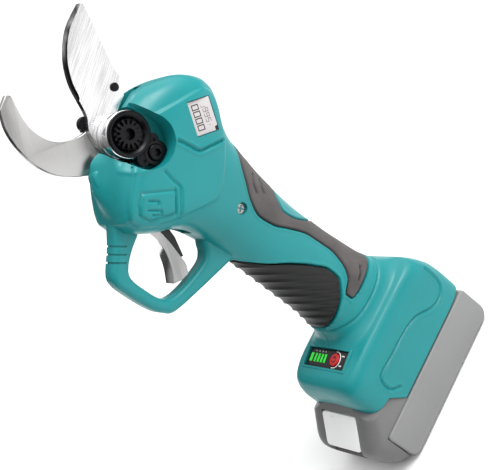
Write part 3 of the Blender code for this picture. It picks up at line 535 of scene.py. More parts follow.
def housing_offsets(skin):
    """Millimetres that each point of the surface moves out (or in) for the moulded features."""
    x, y, z = (skin.points[..., k] for k in range(3))
    ny = np.abs(skin.normal[..., 1])
    off = np.zeros(x.shape)
    side = ease(0.55, 0.85, ny)
    left = side * (y < 0)
    front = skin.edge_distance(FRONT_GRIP, math.pi)
    rear = skin.edge_distance(REAR_GRIP, 0.0)
    window = skin.edge_distance(REAR_WINDOW, 0.0)
    rear = np.maximum(rear, -window)
    for gap in (front, rear):
        off -= GRIP_RECESS * (1 - ease(-0.5, 0.5, gap))
        off += 0.32 * hill(gap - 1.35, 0.75)
    off -= 0.45 * hill(y, 0.45)
    shield = area_distance(x, z, SHIELD)
    off += 1.15 * side * (1 - ease(-1.3, 0.9, shield))
    fold = line_distance(x, z, FOLD)
    off -= 1.35 * left * hill(fold, 0.9)
    off += 0.45 * left * hill(fold - 2.0, 1.0)
    off -= 1.1 * left * hill(line_distance(x, z, CREASE), 0.9)
    off -= 0.7 * left * hill(line_distance(x, z, CREASE_2), 0.7)
    badge = area_distance(x, z, BADGE)
    off += 0.80 * left * (1 - ease(-0.9, 0.3, badge))
    off -= 0.65 * left * hill(badge - 0.8, 0.6)
    for mark in BADGE_MARKS:
        off -= 1.1 * left * hill(line_distance(x, z, mark), 0.6)
    off += 0.55 * side * hill(line_distance(x, z, RIDGE), 1.8)
    reach = np.hypot(x - PIVOT[0], z - PIVOT[2])
    scoop = (1 - ease(16.5, 22.5, reach)) * ease(6.0, 0.0, x - 4) * (z < 296)
    off -= 2.4 * scoop * (y < 0) * ease(0.3, 0.6, ny)
    off += 0.5 * (y < 0) * hill(reach - 23.2, 0.8) * ease(4, -2, x) * ease(0.3, 0.6, ny) * (z > 262)
    bulge = np.exp(-((y + 4.5) / 8.5) ** 2) * ease(258, 276, z) * ease(288, 280, z) * ease(4, -10, x)
    off += 8.6 * bulge
    foot = line_distance(x, z, FOOT_GROOVE)
    off -= 1.15 * side * hill(foot, 0.85)
    off += 0.35 * side * hill(foot - 2.0, 0.9)
    collar = 83.2 + 0.0058 * (x - 17) ** 2 + 0.07 * np.maximum(0, -x)
    off -= 0.75 * hill(z - collar, 0.85)
    off += 0.30 * hill(z - collar - 2.0, 0.8)
    off -= 0.30 * (1 - ease(0.0, 1.2, z - LEVELS[0][0]))
    return off


def grid_faces(mask, count):
    """Quads of a grid where all four corners are in the mask."""
    rows, cols = mask.shape
    faces = []
    for i in range(rows - 1):
        here = mask[i]
        above = mask[i + 1]
        for j in range(cols):
            k = (j + 1) % cols
            if here[j] and here[k] and above[j] and above[k]:
                faces.append((i * count + j, i * count + k, (i + 1) * count + k, (i + 1) * count + j))
    return faces


def closed_skin(name, skin, offsets):
    """The whole housing as one closed body."""
    moved = skin.points + skin.normal * offsets[..., None]
    rows, cols = offsets.shape
    points = moved.reshape(-1, 3).tolist()
    faces = grid_faces(np.ones((rows, cols), bool), cols)
    for row in (0, rows - 1):
        middle = moved[row].mean(axis=0)
        points.append(middle.tolist())
        hub = len(points) - 1
        for j in range(cols):
            faces.append((row * cols + j, row * cols + (j + 1) % cols, hub))
    return show(name, points, faces, TEAL)


def coarse_skin(name, offset, low, high, steps=32):
    rings = []
    for z in np.linspace(low, high, 30):
        x, y = section(z, 2 * math.pi * (np.arange(steps) + 0.5) / steps, offset)
        rings.append([(float(a), float(b), float(z)) for a, b in zip(x, y)])
    return loft(name, rings)


PAD_FACE = 0.55                     # how far the grips stand out from the surface, mm
PAD_BACK = 1.9                      # and how deep they reach below it
GRIP_RECESS = 2.3


def pad(name, skin, gap, look, slot, replaced, bumps, depth=2.6):
    """A soft grip: a rounded pad that fills its recess, from the same surface grid."""
    mask = gap < -0.15
    off = PAD_FACE - depth * (1 - ease(0.0, 1.5, -gap - 0.15)) ** 1.6 + bumps
    outer = skin.points + skin.normal * off[..., None]
    inner = skin.points - skin.normal * PAD_BACK
    faces = grid_faces(mask, gap.shape[1])
    used = sorted({v for face in faces for v in face})
    number = {v: i for i, v in enumerate(used)}
    flat_outer = outer.reshape(-1, 3)
    flat_inner = inner.reshape(-1, 3)
    points = [flat_outer[v].tolist() for v in used] + [flat_inner[v].tolist() for v in used]
    size = len(used)
    sides = {}
    top = []
    for face in faces:
        ids = [number[v] for v in face]
        top.append(tuple(ids))
        for a, b in zip(ids, ids[1:] + ids[:1]):
            sides[(a, b)] = True
    whole = top + [tuple(i + size for i in reversed(face)) for face in top]
    for a, b in sides:
        if (b, a) not in sides:
            whole.append((a, a + size, b + size, b))
    return show(name, points, whole, look, "housing", replaced, slot, 60)


# ---------------------------------------------------------------- shells and guard

GUARD_OUTER = smooth_line([(-22, 268), (-30, 263.5), (-39.5, 256.6), (-51, 248.4), (-64.4, 240.8),
                           (-68.4, 235.2),
                           (-69.2, 226), (-68.2, 207.6), (-65.4, 198.2), (-60.2, 192), (-40, 184.7),
                           (-10, 175.2), (4, 170)], 6)
GUARD_INNER = smooth_line([(4, 204), (-10, 203), (-15.5, 199.5), (-19.5, 195.2), (-26, 193.2), (-42, 195.4),
                           (-54, 199.4), (-59.0, 205), (-60.2, 216), (-59.4, 228), (-54, 233.6),
                           (-42, 237.6), (-22, 241)], 6)
GUARD_HALF = 7.0
GUARD_ROUND = 3.9
GUARD_NOTCHES = [(-50.0, 249.0), (-54.2, 246.4), (-58.4, 243.8)]
NOTCH_HALF = 0.55
NOTCH_ROUND = 3.4


def inset_loop(outline, amount, shares):
    """The outline moved inwards along its corner normals, by each point's share of the amount."""
    points = [Vector(p) for p in outline]
    count = len(points)
    area = sum(a.x * b.y - b.x * a.y for a, b in zip(points, points[1:] + points[:1]))
    moved = []
    for i in range(count):
        before = (points[i] - points[i - 1]).normalized()
        after = (points[(i + 1) % count] - points[i]).normalized()
        along = (before + after).normalized() * math.copysign(amount * shares[i], area)
        moved.append((points[i].x - along.y, points[i].y + along.x))
    return moved


def rounded_slab(name, outline, shares, half, radius, steps=7, **rest):
    """A slab of the outline whose long edges are rounded with a large radius."""
    rings = []
    for side in (-1, 1):
        turns = [math.pi / 2 * i / steps for i in range(steps + 1)]
        for a in (turns if side < 0 else reversed(turns)):
            y = side * (half - radius + radius * math.cos(a))
            rings.append([(x, y, z) for x, z in inset_loop(outline, radius * (1 - math.sin(a)), shares)])
    return loft(name, rings, TEAL, **rest)


def end_shares(count, fade=7):
    return [min(1.0, i / fade, (count - 1 - i) / fade) for i in range(count)]


def guard():
    shares = end_shares(len(GUARD_OUTER)) + end_shares(len(GUARD_INNER))
    body = rounded_slab("guard", GUARD_OUTER + GUARD_INNER, shares, GUARD_HALF, GUARD_ROUND)
    down = Vector((-0.836, 0, -0.548))
    out = Vector((-0.548, 0, 0.836))
    for x, z in GUARD_NOTCHES:
        reach = GUARD_HALF - 0.8
        corner = [(-GUARD_ROUND + NOTCH_ROUND * math.sin(t),
                   reach - NOTCH_ROUND + NOTCH_ROUND * math.cos(t))
                  for t in (math.pi / 2 * i / 6 for i in range(7))]
        inner = [(-8.0, reach)] + corner
        outline = [(-8.0, 12.0)] + inner + [(n, -y) for n,
                                            y in reversed(inner)] + [(-8.0, -12.0), (5.0, -12.0),
                                                                                 (5.0, 12.0)]
        rings = [[tuple(Vector((x, 0, z)) + down * s + out * n + Vector((0, y, 0))) for n, y in outline]
                 for s in (-NOTCH_HALF, NOTCH_HALF)]
        boolean(body, loft("tool", rings))
    return body


def frame_block(low, high, centre, turn, look=None, name="block", **rest):
    """A block in its own axes, turned and then moved to its centre."""
    corners = [(x, y, z) for x in (low[0], high[0]) for y in (low[1], high[1]) for z in (low[2], high[2])]
    points = [tuple(Vector(centre) + turn @ Vector(c)) for c in corners]
    faces = [(0, 1, 3, 2), (4, 6, 7, 5), (0, 4, 5, 1), (2, 3, 7, 6), (0, 2, 6, 4), (1, 5, 7, 3)]
    return show(name, points, faces, look, **rest)


DISPLAY = (41.2, -28.0, 251.5)
DISPLAY_TURN = Matrix.Rotation(math.radians(3.0), 3, "Z") @ Matrix.Rotation(-math.radians(52.8), 3, "Y")
PANEL = (-26.5, 0.0, 74.6)
PANEL_TURN = Matrix.Rotation(-math.radians(8), 3, "Y")
POWER_Y = -8.5
LIGHT_BARS = [(18.2, 3.0), (13.6, 2.0), (10.0, 2.0), (6.4, 2.0), (2.8, 2.0)]


def display_block(name, grow, depth, height, look=None, **rest):
    a, b = 10.5 + grow, 8.0 + grow
    return frame_block((-a, -height, -b), (a, depth, b), DISPLAY, DISPLAY_TURN, look, name, **rest)


def panel_block(name, grow, low, high, look=None, size=(13.0, 44.0), along=0.0, **rest):
    a, b = size[0] / 2 + grow, size[1] / 2 + grow
    return frame_block((-a, along - b, low), (a, along + b, high), PANEL, PANEL_TURN, look, name, **rest)


def nose_space(grow):
    outline = [(-90, -5), (-25.5 + grow, -5), (-25.5 + grow, 29.5), (-34.5 + grow, 44.5),
               (-40, 53.5 + grow), (-90, 53.5 + grow)]
    body = prism("nose_space", outline, -45, 45)
    ys = np.linspace(-46, 46, 40)
    arch = [(-46.0, 80.0)] + [(float(y),
                               53.5 + grow - 8.5 * (float(y) / 32) ** 2) for y in ys] + [(46.0, 80.0)]
    boolean(body, loft("arch", [[(x, y, z) for y, z in arch] for x in (-100, 0)]))
    return body


def tool_block(low, high):
    return block("tool", low, high)


def tool_rod(centre, axis, radius, s0, s1, steps=64):
    return rod("tool", centre, axis, radius, s0, s1, steps=steps)


FRONT_BOSS = smooth_line([(-8.6, 262), (-9.6, 273), (-10.2, 277), (-14.2, 280.4), (-19, 283.8),
                          (-23.4, 283.8),
                          (-27.2, 279.4), (-30.2, 270), (-33, 260), (-28, 250), (-14, 251), (-8.6, 262)],
                         5)[:-1]


LEFT_SCREW = (12.5, 196.0)
RIGHT_SCREWS = [(53.5, 263.5), (-20.0, 257.0), (3.0, 84.0), (-34.0, 60.0), (47.0, 62.0)]
SCREW_SEAT = 2.6
SEAM_HALF = 0.07


def shells(skin, offsets):
    whole = closed_skin("housing_skin", skin, offsets)
    boolean(whole, guard(), "UNION")
    slot_line = [(-36.4, 234), (-36.4, 249), (-18, 252), (-8, 240), (-8, 214), (-20, 206), (-36.4, 222)]
    tools = [nose_space(0.0), tool_block((-90, -22.3, 19.7), (54.8, 22.3, 36.3)),
             tool_block((-90, -26.3, 34.4), (54.8, 26.3, 44.5)),
             tool_block((-33, -5.6, 277), (41, 5.6, 300)), tool_block((-20, -0.1, 262), (41, 5.6, 300)),
             tool_rod(PIVOT, (0, 1, 0), 16.0, -5.6, 5.6, 96), tool_rod(PIVOT, (0, 1, 0), 15.2, 2, 40),
             prism("tool", slot_line, -6.3, 6.3),
             prism("tool", pocket_outline(17.0), -50, -13),
             tool_rod(PIVOT, (0, 1, 0), 17.0, -40, -2, 96),
             display_block("tool", 0.35, 2.6, 6.0),
             panel_block("tool", 0.35, -2.0, 6.0)]
    hollow = coarse_skin("hollow", -5.0, 50.5, HEAD_TOP - 5)
    boolean(hollow, prism("wall", pocket_outline(19.5), -50, -10.5))
    boolean(hollow, panel_block("wall", 9, -5, 14))
    tools.append(hollow)
    for (x, z), side, radius in [(LEFT_SCREW, -1, 3.9)] + [(spot, 1, 4.0) for spot in RIGHT_SCREWS]:
        half = side_y(x, z)
        tools.append(tool_rod((x, 0, z), (0, side, 0), radius, half - SCREW_SEAT, half + 8))
    for tool in tools:
        boolean(whole, tool)
    nose = rounded_slab("front_boss", FRONT_BOSS, [1.0] * len(FRONT_BOSS), 5.2, 2.4)
    for point in nose.data.vertices:
        point.co.y -= 5.4 * MM
    boolean(whole, nose, "UNION")
    for name, side in (("left_housing", -1), ("right_housing", 1)):
        half = whole.copy()
        half.data = whole.data.copy()
        half.name = name
        bpy.context.scene.collection.objects.link(half)
        near, far = sorted((side * SEAM_HALF, side * 120))
        boolean(half, tool_block((-120, near, -20), (120, far, 400)), "INTERSECT")
        finish(half, "housing", ("left_shell" if side < 0 else "right_shell",), 32)
    bpy.data.objects.remove(whole, do_unlink=True)


def lips():
    """A rounded bead where the left shell turns into the pocket."""
    line = []
    for x, z in pocket_outline(17.7, 40):
        line.append((x, -side_y(x, min(z, 289.0)) + 0.75, z))
    kept = [p for p in line if p[2] < 287 and p[1] < -13.5]
    wire("pocket_lip", kept, 0.85, TEAL, "housing")


# ---------------------------------------------------------------- grips

SLITS = [[(35.4, 200.2), (30.6, 197.0), (27.0, 191.8)], [(36.5, 192.6), (33.0, 190.0), (30.8, 186.4)],
         [(32.0, 98.8), (28.4, 96.8), (23.4, 96.2)]]


def grips(skin):
    x, z = skin.points[..., 0], skin.points[..., 2]
    front = skin.edge_distance(FRONT_GRIP, math.pi)
    rear = skin.edge_distance(REAR_GRIP, 0.0)
    window = skin.edge_distance(REAR_WINDOW, 0.0)
    rear = np.maximum(rear, -window)
    wave = (z + 1.5 * (x + 12)) / 8.8
    ribs = 1.0 * (1 - np.abs(np.sin(math.pi * wave))) ** 1.4 - 0.45
    ribs *= ease(1.0, 3.0, -front)
    pad("front_grip_pad", skin, front, BLACK_GRIP, "black_plastic", ("front_grip",), ribs)
    marks = np.zeros(x.shape)
    for line in SLITS:
        marks -= 2.4 * hill(line_distance(x, z, line), 0.72)
    pad("rear_grip_pad", skin, rear, GRIP, "grip", ("rear_grip",), marks)


# ---------------------------------------------------------------- blades

BLADE_T = 4.6
BLADE_GAP = 0.15                    # from the seam to each blade
GROUND_DEPTH = 1.5


def cutting_blade():
    px, _, pz = PIVOT
    edge = smooth_line([(9.6, 314), (15, 324), (25, 334.2), (40, 342.2), (57, 344.8)], 12)
    spine = smooth_line([(58.2, 342.6), (50.5, 328), (42, 313), (37.5, 303), (36.2, 296.2)], 8)
    heel = arc(px, pz, 14.2, 36, -200, 60)
    neck = smooth_line([heel[-1], (-2.0, 298.2), (4.8, 304.6), (9.6, 314)], 8)
    rest = spine + [(29, 292.4)] + heel + neck[1:-1]
    ground = []
    last = len(edge) - 1
    for i, point in enumerate(edge):
        along = (Vector(edge[min(i + 1, last)]) - Vector(edge[max(i - 1, 0)])).normalized()
        depth = GROUND_DEPTH * min(1.0, 0.5 + 0.14 * i, 0.5 + 0.1 * (last - i))
        ground.append((point[0] + along[1] * depth, point[1] - along[0] * depth))
    near = -BLADE_GAP - BLADE_T
    rings = [[(x, -BLADE_GAP, z) for x, z in edge + rest], [(x, -0.75, z) for x, z in edge + rest],
             [(x, near, z) for x, z in ground + rest]]
    made = loft("cutting_blade", rings, BLADE)
    boolean(made, tool_rod(PIVOT, (0, 1, 0), 5.3, -10, 10))
    # The ground faces take the steel with painted dark reflection.
    second_look(made, GROUND_PAINTED_DARK, lambda c, n: -0.97 < n.y < 0.5 and c.z > 308 and n.x * 0.9 - n.z * 0.4 < 0.1)
    finish(made, "blade", ("moving_blade",), 20)
    pin = rounded([(0, -6.0), (2.7, -6.0), (2.7, -0.35), (0, -0.35)], 0.6)
    turned("blade_rivet", pin, (29.5, 0, 300), (0, 1, 0), BLACK_STEEL, 40, body="blade",
           replaced=("blade_pin",), slot="gear_steel")


def hook_blade():
    px, _, pz = PIVOT
    outer = smooth_line([(-22, 347.6), (-29.5, 338.6), (-34.4, 326.5), (-36.2, 313), (-33.8, 300),
                         (-27.5, 289), (-21.5, 281.5), (-20, 272)], 10)
    inner = smooth_line([(4.5, 297.2), (-4.5, 299.6), (-12.5, 304.6), (-18.5, 312), (-20.6, 322),
                         (-18.6, 333), (-11.5, 346.6)], 10)
    outline = outer + [(-9, 266.5)] + arc(px, pz, 14.6, 245, 450, 60) + inner + [(-13.2, 349.6)]
    made = prism("hook_blade", outline, BLADE_GAP, BLADE_GAP + BLADE_T, SATIN)
    bevel(made, 0.9, 3, 25)
    boolean(made, tool_rod(PIVOT, (0, 1, 0), 10.2, -10, 10))
    # The hook's front edge faces take the steel with painted dark reflection.
    second_look(made, GROUND_PAINTED_DARK, lambda c, n: abs(n.y) < 0.85 and c.x < -19 and n.x < -0.3)
    finish(made, "housing", ("fixed_blade",), 30)
    stop = arc(2.2, 300.9, 4.8, 15, 180, 20) + [(-3.4, 299.8), (3.0, 298.0), (7.2, 298.4)]
    bumper = prism("blade_bumper", stop, -0.1, 4.4, BLACK_STEEL)
    bevel(bumper, 0.5, 3, 30)
    finish(bumper, "housing", ("blade_stop",), 40)


# ---------------------------------------------------------------- pivot stack

def splined(centre, axis, count, low, high, s0, s1):
    """Rings of a splined hub: lands with slots between them."""
    u, v, w = axes_for(axis)
    ring = []
    for i in range(count * 8):
        a = 2 * math.pi * i / (count * 8)
        r = high if i % 8 in (1, 2, 3, 4) else low
        ring.append((u * math.cos(a) + v * math.sin(a)) * r)
    return [[tuple(Vector(centre) + w * s + p * k) for p in ring] for s,
            k in ((s0, 1.0), (s1 + 0.5, 1.0), (s1, 0.94))]


def pivot_stack():
    axis = (0, 1, 0)
    bolt = turned("bolt", rounded([(0, -17.0), (4.3, -17.0), (4.7, -16.6), (4.7, 16.6), (9.0, 16.6),
                                   (9.0, 20.8), (0, 20.8)], 0.8), PIVOT, axis, BLACK_STEEL, 64)
    boolean(bolt, tool_rod(PIVOT, axis, 3.4, 17.6, 30, 6))
    finish(bolt, "housing", ("pivot_bolt",), 35)
    for name, inner, outer, y0, y1, node in (("bolt_washer", 5.0, 14.4, 13.0, 16.3, "bolt_plate"),
                                             ("blade_washer", 5.0, 14.0, -8.4, -5.1, "seat_ring"),
                                             ("upper_washer", 5.0, 12.6, -11.6, -8.7, "spacer_ring")):
        profile = rounded([(inner, y0), (outer, y0), (outer, y1), (inner, y1)], 0.7, 4)
        turned(name, profile, PIVOT, axis, CHROME, 128, body="housing", replaced=(node,),
               slot="black_steel" if node == "bolt_plate" else "chrome")
    cup = rounded([(5.0, -14.6), (12.9, -14.6), (12.9, -19.2), (14.3, -19.2), (14.3, -13.0), (13.4, -11.9),
                   (5.0, -11.9)], 0.6, 4)
    turned("plated_cup", cup, PIVOT, axis, CHROME, 128, body="housing", replaced=("nut_cup",),
           slot="chrome")
    profile = rounded([(4.9, -14.9), (12.7, -14.9), (12.7, -18.9), (13.9, -19.4), (13.9, -21.0),
                       (12.0, -21.4), (10.4, -20.0), (9.2, -18.6), (4.9, -18.6)], 0.6, 4)
    nut = turned("black_nut", profile, PIVOT, axis, BLACK_STEEL, 128)
    hub = loft("hub", splined(PIVOT, axis, 15, 6.1, 8.6, -17.5, -21.0), BLACK_STEEL)
    boolean(hub, tool_rod(PIVOT, axis, 3.5, -30, 0, 48))
    boolean(nut, hub, "UNION")
    finish(nut, "housing", ("pivot_nut",), 30)
    plate = rod("plate", LOCK, axis, 7.6, -20.0, -13.3, BLACK_STEEL, 80)
    for x, z, radius in ((12.6, 267.9, 4.4), (0.4, 266.3, 4.4), (7.0, 268.6, 6.0)):
        boolean(plate, rod("lobe", (x, 0, z), axis, radius, -19.6, -13.4, BLACK_STEEL, 64),
                "UNION")
    boolean(plate, tool_rod(PIVOT, axis, 14.5, -19.3, 0, 128))
    boolean(plate, tool_rod(PIVOT, axis, 14.1, -30, 0, 128))
    boolean(plate, tool_rod(LOCK, axis, 5.4, -30, -17.4, 64))
    boolean(plate, tool_rod(LOCK, axis, 2.6, -30, 0, 48))
    for x, z in ((13.6, 267.4), (-0.8, 264.9)):
        boolean(plate, turned("tool", [(0, -18.7), (0.8, -18.9), (1.2, -19.7), (1.2, -25), (0, -25)],
                              (x, 0, z), axis, None, 32))
    boolean(plate, prism("outside", pocket_outline(16.6), -30, 0), "INTERSECT")
    bevel(plate, 0.6, 3, 40)
    finish(plate, "housing", ("lock_plate",), 35)
    profile = rounded([(0, -13.3), (2.2, -13.3), (2.2, -17.5), (5.0, -17.5), (5.0, -21.6), (0, -21.6)], 0.9,
                      4)
    screw = turned("locking_screw", profile, LOCK, axis, BLACK_STEEL, 64)
    boolean(screw, tool_rod(LOCK, axis, 2.6, -30, -18.8, 6))
    finish(screw, "housing", ("lock_screw",), 35)


# ---------------------------------------------------------------- trigger

TRIGGER_PIN = (-29, 0, 243)
TRIGGER_HALF = 5.5


def trigger():
    front = smooth_line([(-30.6, 233.5), (-31.2, 226.5), (-34.5, 217.5), (-40, 209.5), (-47.2, 202.6)], 10)
    back = smooth_line([(-36.4, 197.6), (-32.2, 202.5), (-30.0, 209.5), (-27.2, 219), (-25.2, 229)], 10)
    outline = front + [(-42.4, 199.2)] + back + [(-23.6, 236), (-24, 241), (-33.6, 240)]
    lever = prism("trigger_lever", outline, -TRIGGER_HALF, TRIGGER_HALF, CHROME)
    bevel(lever, 0.9, 4, 35)
    boolean(lever, tool_rod(TRIGGER_PIN, (0, 1, 0), 4.6, -4.0, 4.0), "UNION")
    boolean(lever, tool_rod(TRIGGER_PIN, (0, 1, 0), 2.0, -20, 20))
    second_look(lever, LEVER, lambda c, n: abs(n.y) > 0.9)
    finish(lever, "trigger", ("trigger",), 40)
    web = prism("trigger_back", [(-24.5, 229.5), (-26.8, 219), (-29.6, 209.3), (-30.4, 206.6),
                                 (-28.6, 205.4),
                                 (-22.0, 217), (-18.6, 228), (-17.6, 238), (-22.9, 238), (-22.9, 236)],
                -3.4, 3.4, BLACK)
    bevel(web, 0.6, 3, 30)
    finish(web, "trigger", ("trigger_web",), 40)


# ---------------------------------------------------------------- display and power panel

SEGMENTS = {"0": "abcdef", "5": "afgcd", "9": "abfgcd"}


def digit_strokes(shape, wide, tall):
    """Centre lines of a seven-segment digit, as (along, up) pairs."""
    w, h = wide / 2, tall / 2
    lines = {"a": ((-w, h), (w, h)), "b": ((w, h), (w, 0)), "c": ((w, 0), (w, -h)),
             "d": ((w, -h), (-w, -h)),
             "e": ((-w, -h), (-w, 0)), "f": ((-w, 0), (-w, h)), "g": ((-w, 0), (w, 0))}
    return [lines[s] for s in SEGMENTS[shape]]


def display():
    face = display_block("screen_face", 0.0, 1.9, 0.25, SCREEN)
    bevel(face, 0.35, 3, 40)
    finish(face, "housing", ("display_screen",), 35)
    points = []
    faces = []

    def stroke(a, b, thick):
        along = (Vector(b) - Vector(a)).normalized()
        side = Vector((-along[1], along[0])) * thick / 2
        ends = [Vector(a) - along * thick * 0.3, Vector(b) + along * thick * 0.3]
        base = len(points)
        for y in (-0.30, -0.22):
            for c in (ends[0] + side, ends[0] - side, ends[1] - side, ends[1] + side):
                points.append(tuple(Vector(DISPLAY) + DISPLAY_TURN @ Vector((c[0], y, c[1]))))
        for quad in ((0, 1, 2, 3), (7, 6, 5, 4), (0, 4, 5, 1), (1, 5, 6, 2), (2, 6, 7, 3), (3, 7, 4, 0)):
            faces.append(tuple(base + q for q in quad))

    def text(word, start, gap, v, wide, tall, thick):
        for i, letter in enumerate(word):
            u = start - gap * i
            for a, b in digit_strokes(letter, wide, tall):
                stroke((u - a[0], v - a[1]), (u - b[0], v - b[1]), thick)

    text("0000", 6.3, 4.15, 3.5, 2.9, 4.4, 0.62)
    show("large_digits", points[:], faces[:], INK, "housing", slot="screen")
    points.clear()
    faces.clear()
    text("995", 3.2, 3.1, -3.0, 2.0, 3.4, 0.42)
    stroke((6.4, -0.6), (5.2, -0.6), 0.3)
    stroke((5.2, -0.6), (5.2, -3.8), 0.3)
    stroke((-6.0, -2.2), (-6.0, -3.6), 0.3)
    show("small_digits", points, faces, PALE_INK, "housing", slot="screen")
    corner = [(-10.4, -0.27, -7.9), (-7.4, -0.27, -7.9), (-8.2, -0.27, -5.6), (-10.4, -0.27, -5.9)]
    rings = [[tuple(Vector(DISPLAY) + DISPLAY_TURN @ Vector((x, y + d, z))) for x, y,
              z in corner] for d in (0, 0.05)]
    loft("screen_corner", rings, BLACK, body="housing", slot="screen")


def panel_spot(x, y, height):
    return tuple(Vector(PANEL) + PANEL_TURN @ Vector((x, y, height)))


def power_panel():
    face = panel_block("panel_face", 0.0, -1.6, 0.15, BLACK)
    bevel(face, 0.4, 3, 40)
    place = panel_spot(0, POWER_Y, 0)
    axis = PANEL_TURN @ Vector((0, 0, 1))
    boolean(face, tool_rod(place, axis, 5.0, -5, 5))
    guide = panel_block("light_bars", 0.0, -3.4, -2.2, LED, (6.0, 18.6), 10.4)
    for y, wide in LIGHT_BARS:
        boolean(face, panel_block("tool", 0.15, -9.0, 2.0, None, (6.0, wide), y))
        boolean(guide, panel_block("bar", 0.0, -2.6, 0.25, LED, (6.0, wide), y), "UNION")
    finish(face, "housing", ("power_panel",), 35)
    finish(guide, "housing", ("charge_lights",), 35)
    profile = rounded([(0, -2.4), (3.0, -2.4), (3.0, -1.4), (4.6, -1.4), (4.6, 1.2), (0, 1.2)], 0.9, 4)
    turned("power_key", profile, place, axis, RED, 64, body="power_button", replaced=("power_button",),
           slot="red_plastic")
    for name, radius, start, stop, height, thick, look, body in (
            ("power_ring", 5.7, 170, 370, 0.2, 0.28, WHITE, "housing"),
            ("power_mark_ring", 1.9, 120, 420, 1.2, 0.26, BLACK, "power_button")):
        turns = [math.radians(start + (stop - start) * i / 40) for i in range(41)]
        line = [panel_spot(radius * math.cos(t), POWER_Y + radius * math.sin(t), height) for t in turns]
        wire(name, line, thick, look, body)
    wire("power_mark_bar", [panel_spot(d, POWER_Y, 1.2) for d in (0.8, 2.6)], 0.26, BLACK, "power_button")
    for name, x in (("panel_mark_1", 3.2), ("panel_mark_2", -3.6)):
        wire(name, [panel_spot(x, POWER_Y - d, 0.15) for d in (6.6, 9.0)], 0.42, WHITE, "housing")
    for i, (y, _) in enumerate(LIGHT_BARS[1:]):
        turned("scale_dot_%d" % (i + 1), [(0, 0), (0.42, 0), (0.3, 0.14), (0, 0.16)],
               panel_spot(4.6, y + 1.4, 0.12), axis, WHITE, 20, body="housing", slot="led_green")
    outer = panel_block("panel_frame", 2.3, -6.0, 1.7, TEAL)
    bevel(outer, 1.0, 4, 40)
    boolean(outer, panel_block("tool", 0.25, -10, 6))
    finish(outer, "housing")


# ---------------------------------------------------------------- battery

def rounded_outline(corners, steps=8):
    """Corners of (x, z, radius) turned into a smooth closed outline."""
    line = []
    count = len(corners)
    for i in range(count):
        here = Vector(corners[i][:2])
        before = (Vector(corners[i - 1][:2]) - here).normalized() * corners[i][2]
        after = (Vector(corners[(i + 1) % count][:2]) - here).normalized() * corners[i][2]
        for j in range(steps + 1):
            t = j / steps
            line.append(tuple((here + before) * (1 - t) ** 2 + here * 2 * t * (1 - t)
                              + (here + after) * t ** 2))
    return line


def battery_tub():
    outline = rounded_outline([(-55, 0, 8.0), (59, 0, 9.0), (59, 28.5, 2.6), (-56, 28.5, 3.0)])
    body = prism("battery_tub", outline, -37.5, 37.5, LIGHT_GREY)
    bevel(body, 1.3, 4, 40)
    boolean(body, tool_block((-53.0, -34.6, 2.5), (56.4, 34.6, 40)))
    finish(body, "battery", ("battery_case",), 35)


NOSE_LEVELS = [(1.6, -56.0, 31.0, 12.0), (2.4, -60.4, 33.8, 13.0), (5.0, -63.8, 35.2, 14.0),
               (16.0, -69.0, 36.2, 14.0),
               (27.0, -70.8, 36.2, 14.0), (30.0, -69.6, 36.2, 13.0), (38.0, -62.0, 35.4, 11.0),
               (46.0, -54.0, 34.4, 10.0), (56.0, -44.5, 33.0, 9.0)]


def nose_ring(z, steps=14):
    front, half, radius = (float(eased(NOSE_LEVELS, k, np.array(float(z)))) for k in (1, 2, 3))
    ring = [(-20.0, -half, z)]
    for start in (-90, 180):
        middle = -half + radius if start == -90 else half - radius
        for i in range(steps + 1):
            a = math.radians(start - 90 * i / steps)
            ring.append((front + radius + radius * math.cos(a), middle + radius * math.sin(a), z))
    return ring + [(-20.0, half, z)]


def battery_top():
    nose = loft("battery_top", [nose_ring(float(z)) for z in np.linspace(1.6, 56, 70)], DARK_GREY)
    boolean(nose, nose_space(-0.5), "INTERSECT")
    boolean(nose, tool_block((-56.3, -60, -5), (90, 60, 28.8)))
    for low, high in (((-40, -35, 28.8), (56.5, 35, 29.6)), ((-40, -22, 29.2), (54, 22, 36)),
                      ((-40, -26, 35.2), (54, 26, 43.8))):
        boolean(nose, tool_block(low, high), "UNION")
    boolean(nose, tool_block((-30, -18, 20), (46, 18, 40.4)))
    for y in (-12.0, 12.0):
        boolean(nose, tool_block((18, y - 1.6, 36), (80, y + 1.6, 60)))
    room = [(-47.8, 47.6), (-47.8, 39.4), (-66.5, 20.7), (-90, 20.7), (-90, 47.6)]
    boolean(nose, prism("tool", room, -19.4, 19.4))
    boolean(nose, tool_rod((-60.5, 0, 0), (0, 0, 1), 3.5, 12.0, 40))
    bevel(nose, 0.5, 2, 50)
    finish(nose, "battery", ("battery_cover",), 38)
    outline = [(-49.2, 47.2), (-53.2, 47.2), (-70.6, 29.8), (-70.6, 27.2), (-67.0, 25.9), (-48.4, 44.4)]
    button = prism("latch_button", outline, -19.0, 19.0, WHITE)
    centre, up = Vector((-61.9, 0, 38.5)), Vector((0.7071, 0, 0.7071))
    out = Vector((-0.7071, 0, 0.7071))
    ring = rounded_outline([(-19, -12.2, 3.4), (19, -12.2, 3.4), (19, 12.2, 3.4), (-19, 12.2, 3.4)])
    rings = [[tuple(centre + Vector((0, a, 0)) + up * b + out * s) for a, b in ring] for s in (-30, 30)]
    boolean(button, loft("tool", rings), "INTERSECT")
    bevel(button, 0.8, 4, 35)
    finish(button, "release_button", ("release_button",), 40)


# ---------------------------------------------------------------- kept CAD nodes

